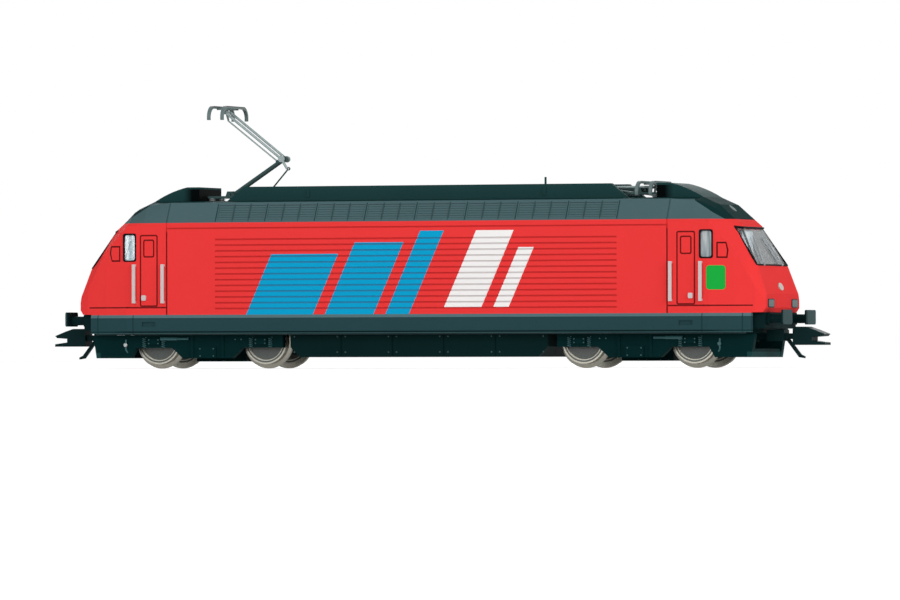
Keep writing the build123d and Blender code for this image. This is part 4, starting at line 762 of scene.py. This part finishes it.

# Chassis, tank, beams and buffers. Black-green castings and mouldings, hardly glossy, screwed together.
# The buffer plates are a little brighter at their faces.
CHASSIS_BLACK = (0.0022, 0.0150, 0.0155)
BEAM_BLACK = (0.0040, 0.0170, 0.0185)
PALE_FITTING_GREY = (0.046, 0.080, 0.084)
BUFFER_FACE = 105.9
TANK_PANELS = 5
TANK_PITCH = 15.2
TANK_FACE = 14.0
TANK_BOLT_STEP = 6.4
TANK_BOLT_HEIGHTS = (3.3, 7.6)
MOTOR_GREY = (0.2, 0.2, 0.2)
chassis_paint = plain_finish("chassis_paint", CHASSIS_BLACK, roughness=0.5)
dress(chassis_paint, "chassis")
spots = []
for panel in range(TANK_PANELS):
    centre = (panel - (TANK_PANELS - 1) / 2) * TANK_PITCH
    for step in (-TANK_BOLT_STEP, TANK_BOLT_STEP):
        for height in TANK_BOLT_HEIGHTS:
            for turn in (1, -1):
                facing = (-turn * math.pi / 2, 0, 0)
                spots.append((at(centre + step, turn * TANK_FACE, height), facing))
tank_bolt = plain_finish("tank_bolt", PALE_FITTING_GREY, roughness=0.4)
tank_bolt_sizes = {"Radius": 0.00026, "Height": 0.00016}
grow("tank_bolts", bolt_tree, spots, tank_bolt_sizes, tank_bolt, "body")
motor_metal = plain_finish("motor_metal", MOTOR_GREY, roughness=0.5, metallic=0.8)
dress(motor_metal, "motor_block")
beam_plastic, tree, shader = new_material("beam_plastic")
along, across, height = millimetres(tree)
at_face = math_node(tree, "GREATER_THAN", math_node(tree, "ABSOLUTE", along), BUFFER_FACE)
shader.inputs["Specular IOR Level"].default_value = 0.01
colour = mix_colour(tree, at_face, BEAM_BLACK, PALE_FITTING_GREY)
film(tree, shader, colour, mottle=0.3, roughness=0.45, bump=0.15)
dress(beam_plastic, "buffer_beam_front", "buffer_beam_rear", "buffers_front", "buffers_rear")

# Brake pipes. One thin drawn wire along each side, in the colour of the tank's bolts.
# Each lies under its sill and is held by the shell's lower edge.
PIPE_REACH = 96.0
PIPE_HEIGHT = 8.33
PIPE_SIDE = 15.4
PIPE_RADIUS = 0.00016
pipes = []
for turn in (1, -1):
    start = at(-PIPE_REACH, turn * PIPE_SIDE, PIPE_HEIGHT)
    finish = at(PIPE_REACH, turn * PIPE_SIDE, PIPE_HEIGHT)
    pipes.append((start, finish, PIPE_RADIUS))
settle("brake_pipes", bar_mesh("brake_pipes", pipes, tank_bolt), "body")

# Cab interiors. One grey moulding in each cab with desk, seat and rear wall, set on the floor.
# The desk top is darker than the walls.
CAB_GREY = (0.170, 0.205, 0.222)
DESK_DARK = (0.035, 0.040, 0.042)
DESK_RISE = (20.0, 26.0)
cab_plastic, tree, shader = new_material("cab_plastic")
along, across, height = millimetres(tree)
reach = math_node(tree, "ABSOLUTE", along)
desk = both(tree, between(tree, height, *DESK_RISE), math_node(tree, "GREATER_THAN", reach, CAB_START))
colour = mix_colour(tree, desk, CAB_GREY, DESK_DARK)
film(tree, shader, colour, mottle=0.2, roughness=0.6, bump=0.15)
dress(cab_plastic, "cab_interior_front", "cab_interior_rear")

# Bogies. Dark moulded frames that swivel on king pins, with axle boxes, coil springs and sand pipes.
# Bolt heads, springs and pipes are moulded on, coloured paler than the frame as a painted highlight;
# the rear pipes have silver clips.
PIVOT = 63.2
AXLE_OFFSET = 16.1
AXLE_HEIGHT = 6.3
FRAME_FACE = 13.4
BOX_FACE = 13.9
BOGIE_DARK = (0.0022, 0.0190, 0.0200)
BOGIE_LIGHT = (0.012, 0.050, 0.052)
BOGIE_DETAIL_HIGHLIGHT = (0.022, 0.088, 0.094)
PIPE_SILVER = (0.42, 0.45, 0.45)
GUARD_TOP = 3.2
GUARD_START = 95.6
BOX_BOLT_STEP = 1.4
BOX_BOLT_RISE = 0.5
SPRING_STEP = 2.9
SPRING_PROUD = 0.25
SPRING_FOOT = 4.75
FRAME_BOLTS = (-10.2, -8.4, 8.4, 10.2)
FRAME_BOLT_HEIGHT = 6.9
MIDDLE_BOLT_STEP = 2.0
MIDDLE_BOLT_HEIGHTS = (2.3, 4.3)
CLIP_PLACE = (24.6, FRAME_FACE + 0.35, 5.4)
# Pipes of one side: radius in metres, then both ends: place from the king pin, place across, height
BOGIE_PIPES = (
    (0.00028, (24.6, 13.5, 6.9), (24.6, 13.5, 4.0)),
    (0.00028, (24.6, 13.5, 4.0), (23.4, 12.6, 2.0)),
    (0.00035, (5.6, 13.75, 7.1), (14.0, 13.75, 7.1)),
    (0.0005, (9.0, 13.75, 7.1), (14.0, 13.75, 7.1)),
)


def build_coil(tree, source):
    """A wire wound into a spring."""
    spiral = place(tree, "GeometryNodeCurveSpiral", inputs={"Resolution": 12})
    pairs = (
        ("Rotations", "Turns"),
        ("Start Radius", "Radius"),
        ("End Radius", "Radius"),
        ("Height", "Height"),
    )
    for socket, size in pairs:
        tree.links.new(source.outputs[size], spiral.inputs[socket])
    wire = place(tree, "GeometryNodeCurvePrimitiveCircle", inputs={"Resolution": 6})
    tree.links.new(source.outputs["Wire"], wire.inputs["Radius"])
    sweep = tree.nodes.new("GeometryNodeCurveToMesh")
    sweep.inputs["Fill Caps"].default_value = True
    tree.links.new(spiral.outputs["Curve"], sweep.inputs["Curve"])
    tree.links.new(wire.outputs["Curve"], sweep.inputs["Profile Curve"])
    return sweep.outputs["Mesh"]


coil_tree = make_growth_tree("CoilSprings", ("Turns", "Radius", "Height", "Wire"), build_coil)
bogie_plastic, tree, shader = new_material("bogie_plastic")
along, across, height = millimetres(tree)
reach = math_node(tree, "ABSOLUTE", along)
rail_guard = both(
    tree,
    math_node(tree, "LESS_THAN", height, GUARD_TOP),
    math_node(tree, "GREATER_THAN", reach, GUARD_START),
)
colour = mix_colour(tree, rail_guard, BOGIE_DARK, BOGIE_LIGHT)
shader.inputs["Specular IOR Level"].default_value = 0.01
film(tree, shader, colour, mottle=0.35, roughness=0.45, bump=0.2)
dress(bogie_plastic, "bogie_frame_front", "bogie_frame_rear")
# Painted highlight: the moulded bolts, springs and pipes are coloured paler than the frame.
bogie_detail_highlight = plain_finish("bogie_detail_highlight", BOGIE_DETAIL_HIGHLIGHT, roughness=0.4, mottle=0.3, sheen=0.4)
pipe_silver = plain_finish("pipe_silver", PIPE_SILVER, roughness=0.35, metallic=0.5, mottle=0.2)
for end, name in ((1, "front"), (-1, "rear")):
    bolts = []
    coils = []
    pipes = []
    clips = []
    for turn in (1, -1):
        facing = (-turn * math.pi / 2, 0, 0)
        for axle in (-AXLE_OFFSET, AXLE_OFFSET):
            centre = end * (PIVOT + axle)
            for rise in (-BOX_BOLT_RISE, BOX_BOLT_RISE):
                for step in (-BOX_BOLT_STEP, BOX_BOLT_STEP):
                    bolts.append((at(centre + step, turn * BOX_FACE, AXLE_HEIGHT + rise), facing))
            for step in (-SPRING_STEP, SPRING_STEP):
                foot = at(centre + step, turn * (FRAME_FACE + SPRING_PROUD), SPRING_FOOT)
                coils.append((foot, (0, 0, 0)))
        for step in FRAME_BOLTS:
            bolts.append((at(end * (PIVOT + step), turn * FRAME_FACE, FRAME_BOLT_HEIGHT), facing))
        for step in (-MIDDLE_BOLT_STEP, MIDDLE_BOLT_STEP):
            for height in MIDDLE_BOLT_HEIGHTS:
                bolts.append((at(end * (PIVOT + step), turn * BOX_FACE, height), facing))
        for radius, *ends in BOGIE_PIPES:
            start, finish = (
                at(end * (PIVOT + step), turn * across, height) for step, across, height in ends
            )
            pipes.append((start, finish, radius))
        step, across, height = CLIP_PLACE
        clips.append((at(end * (PIVOT + step), turn * across, height), facing))
    body = "bogie_" + name
    bolt_sizes = {"Radius": 0.00022, "Height": 0.00016}
    grow("bogie_bolts_" + name, bolt_tree, bolts, bolt_sizes, bogie_detail_highlight, body)
    coil_sizes = {"Turns": 5.0, "Radius": 0.00048, "Height": 0.0027, "Wire": 0.00015}
    grow("bogie_springs_" + name, coil_tree, coils, coil_sizes, bogie_detail_highlight, body)
    settle("bogie_pipes_" + name, bar_mesh("bogie_pipes", pipes, bogie_detail_highlight), body)
    clip_sizes = {"Radius": 0.0006, "Height": 0.0003}
    clip_metal = pipe_silver if end < 0 else bogie_detail_highlight
    grow("pipe_clips_" + name, bolt_tree, clips, clip_sizes, clip_metal, body)

# Wheelsets. Wheels and axle turned from steel; the rims stay bright, with a thin painted highlight ring
# inside each, and the wheel centres are blackened.
# Fine turning rings show on the rims; each set rolls in its bogie's bores.
RIM_STEEL = (0.36, 0.35, 0.30)
CENTRE_BLACK = (0.060, 0.074, 0.066)
TREAD_EDGE = 5.85
RIM_HIGHLIGHT_RING = (5.1, 5.4)
TURNING_RINGS = 60.0
RING_GLOSS = (0.06, 0.32)
RIM_METAL = 0.85
WHEELSETS = (
    ("wheelset_1", PIVOT + AXLE_OFFSET),
    ("wheelset_2", PIVOT - AXLE_OFFSET),
    ("wheelset_3", -PIVOT + AXLE_OFFSET),
    ("wheelset_4", -PIVOT - AXLE_OFFSET),
)
for name, axle in WHEELSETS:
    wheel_steel, tree, shader = new_material("wheel_steel_" + name[-1])
    along, across, height = millimetres(tree)
    run = math_node(tree, "SUBTRACT", along, axle)
    rise = math_node(tree, "SUBTRACT", height, AXLE_HEIGHT)
    square = math_node(tree, "MULTIPLY_ADD", run, run, math_node(tree, "MULTIPLY", rise, rise))
    radius = math_node(tree, "SQRT", square)
    tread = math_node(tree, "GREATER_THAN", radius, TREAD_EDGE)
    # Painted highlight: a thin bright ring inside the tread, coloured and set metallic like the tread.
    rim = math_node(tree, "MAXIMUM", tread, between(tree, radius, *RIM_HIGHLIGHT_RING))
    rings = math_node(tree, "SINE", math_node(tree, "MULTIPLY", radius, TURNING_RINGS))
    turned = math_node(tree, "MULTIPLY_ADD", rings, *RING_GLOSS)
    colour = mix_colour(tree, rim, CENTRE_BLACK, RIM_STEEL)
    film(tree, shader, colour, mottle=0.15, roughness=turned, bump=0.05)
    tree.links.new(math_node(tree, "MULTIPLY", rim, RIM_METAL), shader.inputs["Metallic"])
    dress(wheel_steel, name)

# Couplers. Heads with two prongs and a hanging hook, each moulded in one piece of black plastic.
# Each swings sideways on the pin of a post under the chassis, behind its buffer beam.
COUPLER_BLACK = (0.0050, 0.0200, 0.0215)
coupler_plastic = plain_finish("coupler_plastic", COUPLER_BLACK, roughness=0.38, mottle=0.4)
dress(coupler_plastic, "coupler_front", "coupler_rear")

# Pantographs and roof gear. Bent, cast and soldered metal in grey-green paint on pale insulators.
# The lower arms are darker than the upper ones, and each head carries black carbon strips;
# coil springs lie in each base frame.
ARM_DARK = (0.042, 0.078, 0.077)
ARM_LIGHT = (0.28, 0.34, 0.34)
CARBON = (0.018, 0.020, 0.021)
HEAD_GREY = (0.085, 0.130, 0.130)
INSULATOR_GREY = (0.20, 0.23, 0.23)
HEAD_TOPS = (("front", 51.70), ("rear", 72.15))
STRIP_DEPTH = 0.28
BASE_SPRING = (52.7, 1.8, 46.45)
arm_dark = plain_finish("arm_dark", ARM_DARK, roughness=0.4, metallic=0.2)
arm_light = plain_finish("arm_light", ARM_LIGHT, roughness=0.35, metallic=0.3)
insulator = plain_finish("insulator", INSULATOR_GREY, roughness=0.25, mottle=0.3)
dress(insulator, "roof_insulators", "pantograph_insulators")
dress(arm_light, "roof_bus_bar")
dress(arm_dark, "roof_main_switch")
for name, head_top in HEAD_TOPS:
    dress(arm_dark, "pantograph_base_" + name, "lower_arm_" + name, "lower_rod_" + name)
    dress(arm_light, "upper_arm_" + name, "upper_rod_" + name)
    head_paint, tree, shader = new_material("head_paint_" + name)
    along, across, height = millimetres(tree)
    strip = math_node(tree, "GREATER_THAN", height, head_top - STRIP_DEPTH)
    colour = mix_colour(tree, strip, HEAD_GREY, CARBON)
    film(tree, shader, colour, mottle=0.3, roughness=0.45, bump=0.15)
    dress(head_paint, "collector_head_" + name)
springs = []
for end in (1, -1):
    for turn in (1, -1):
        along, across, height = BASE_SPRING
        springs.append((at(end * along, turn * across, height), (0, end * math.pi / 2, 0)))
spring_sizes = {"Turns": 14.0, "Radius": 0.0004, "Height": 0.0066, "Wire": 0.00011}
grow("raising_springs", coil_tree, springs, spring_sizes, arm_light, "body")

# Studio. A pale floor, an even white surround, softboxes at the side, the front and the back,
# and the camera at the photo's angle.
# The floor's own glow rises with distance, so it meets the white surround without a line.
FLOOR_LIFT = {"From Min": 0.15, "From Max": 0.9, "To Min": 0.36, "To Max": 0.62}
FLOOR_HALF = 6.0
FLOOR_PAPER = (0.9, 0.9, 0.9)
SURROUND_LIGHT = 0.45
SURROUND_SEEN = 0.55
LAMP_AIM = Vector((0, 0, 0.03))
CAMERA_PLACE = (0.8322, -2.1624, 0.0022)
CAMERA_LENS = 334.2
CAMERA_TURN = 20.956
CAMERA_TILT = 90.413
CAMERA_ROLL = -0.099


def seen_directly(tree):
    """Mask of the rays that show a surface itself: from the camera, by gloss and through glass."""
    path = tree.nodes.new("ShaderNodeLightPath")
    seen = path.outputs["Is Camera Ray"]
    for ray in ("Is Glossy Ray", "Is Transmission Ray"):
        seen = math_node(tree, "MAXIMUM", seen, path.outputs[ray])
    return seen


floor_mesh = bpy.data.meshes.new("floor")
corners = [(-FLOOR_HALF, -FLOOR_HALF, 0), (FLOOR_HALF, -FLOOR_HALF, 0)]
corners += [(FLOOR_HALF, FLOOR_HALF, 0), (-FLOOR_HALF, FLOOR_HALF, 0)]
floor_mesh.from_pydata(corners, [], [(0, 1, 2, 3)])
floor = bpy.data.objects.new("floor", floor_mesh)
bpy.context.collection.objects.link(floor)
floor_paper = plain_finish("floor_paper", FLOOR_PAPER, roughness=0.9, mottle=0.01, bump=0.0)
floor_mesh.materials.append(floor_paper)
floor_tree = floor_paper.node_tree
floor_shader = floor_tree.nodes["Principled BSDF"]
floor_shader.inputs["Emission Color"].default_value = (1, 1, 1, 1)
floor_spot = floor_tree.nodes.new("ShaderNodeTexCoord")
floor_away = place(floor_tree, "ShaderNodeVectorMath", operation="LENGTH")
floor_tree.links.new(floor_spot.outputs["Object"], floor_away.inputs[0])
far_share = place(floor_tree, "ShaderNodeMapRange", inputs=FLOOR_LIFT)
floor_tree.links.new(floor_away.outputs["Value"], far_share.inputs["Value"])
glow = math_node(floor_tree, "MULTIPLY", seen_directly(floor_tree), far_share.outputs["Result"])
floor_tree.links.new(glow, floor_shader.inputs["Emission Strength"])

world = bpy.data.worlds.new("studio")
world.use_nodes = True
bpy.context.scene.world = world
sky = world.node_tree
background = sky.nodes["Background"]
background.inputs["Color"].default_value = (1, 1, 1, 1)
strength = math_node(sky, "MULTIPLY_ADD", seen_directly(sky), SURROUND_SEEN, SURROUND_LIGHT)
sky.links.new(strength, background.inputs["Strength"])


def softbox(name, place_at, size, power):
    """A square area lamp aimed at the model."""
    lamp = bpy.data.lights.new(name, "AREA")
    lamp.energy = power
    lamp.size = size
    lamp_object = bpy.data.objects.new(name, lamp)
    lamp_object.location = place_at
    aim = LAMP_AIM - Vector(place_at)
    lamp_object.rotation_euler = aim.to_track_quat("-Z", "Y").to_euler()
    bpy.context.collection.objects.link(lamp_object)


softbox("key", (-0.10, -2.1, 0.80), 1.5, 20.5)
softbox("front", (2.1, -0.7, 0.70), 1.4, 23.0)
softbox("back", (-1.0, 2.0, 0.70), 1.5, 12.0)

camera = bpy.data.cameras.new("camera")
camera.lens = CAMERA_LENS
camera.sensor_width = 36.0
camera.clip_start = 0.01
camera_object = bpy.data.objects.new("camera", camera)
turn = Matrix.Rotation(math.radians(CAMERA_TURN), 4, "Z")
tilt = Matrix.Rotation(math.radians(CAMERA_TILT), 4, "X")
roll = Matrix.Rotation(math.radians(CAMERA_ROLL), 4, "Z")
camera_object.matrix_world = Matrix.Translation(CAMERA_PLACE) @ turn @ tilt @ roll
bpy.context.collection.objects.link(camera_object)
bpy.context.scene.camera = camera_object
bpy.context.scene.view_settings.view_transform = "Standard"
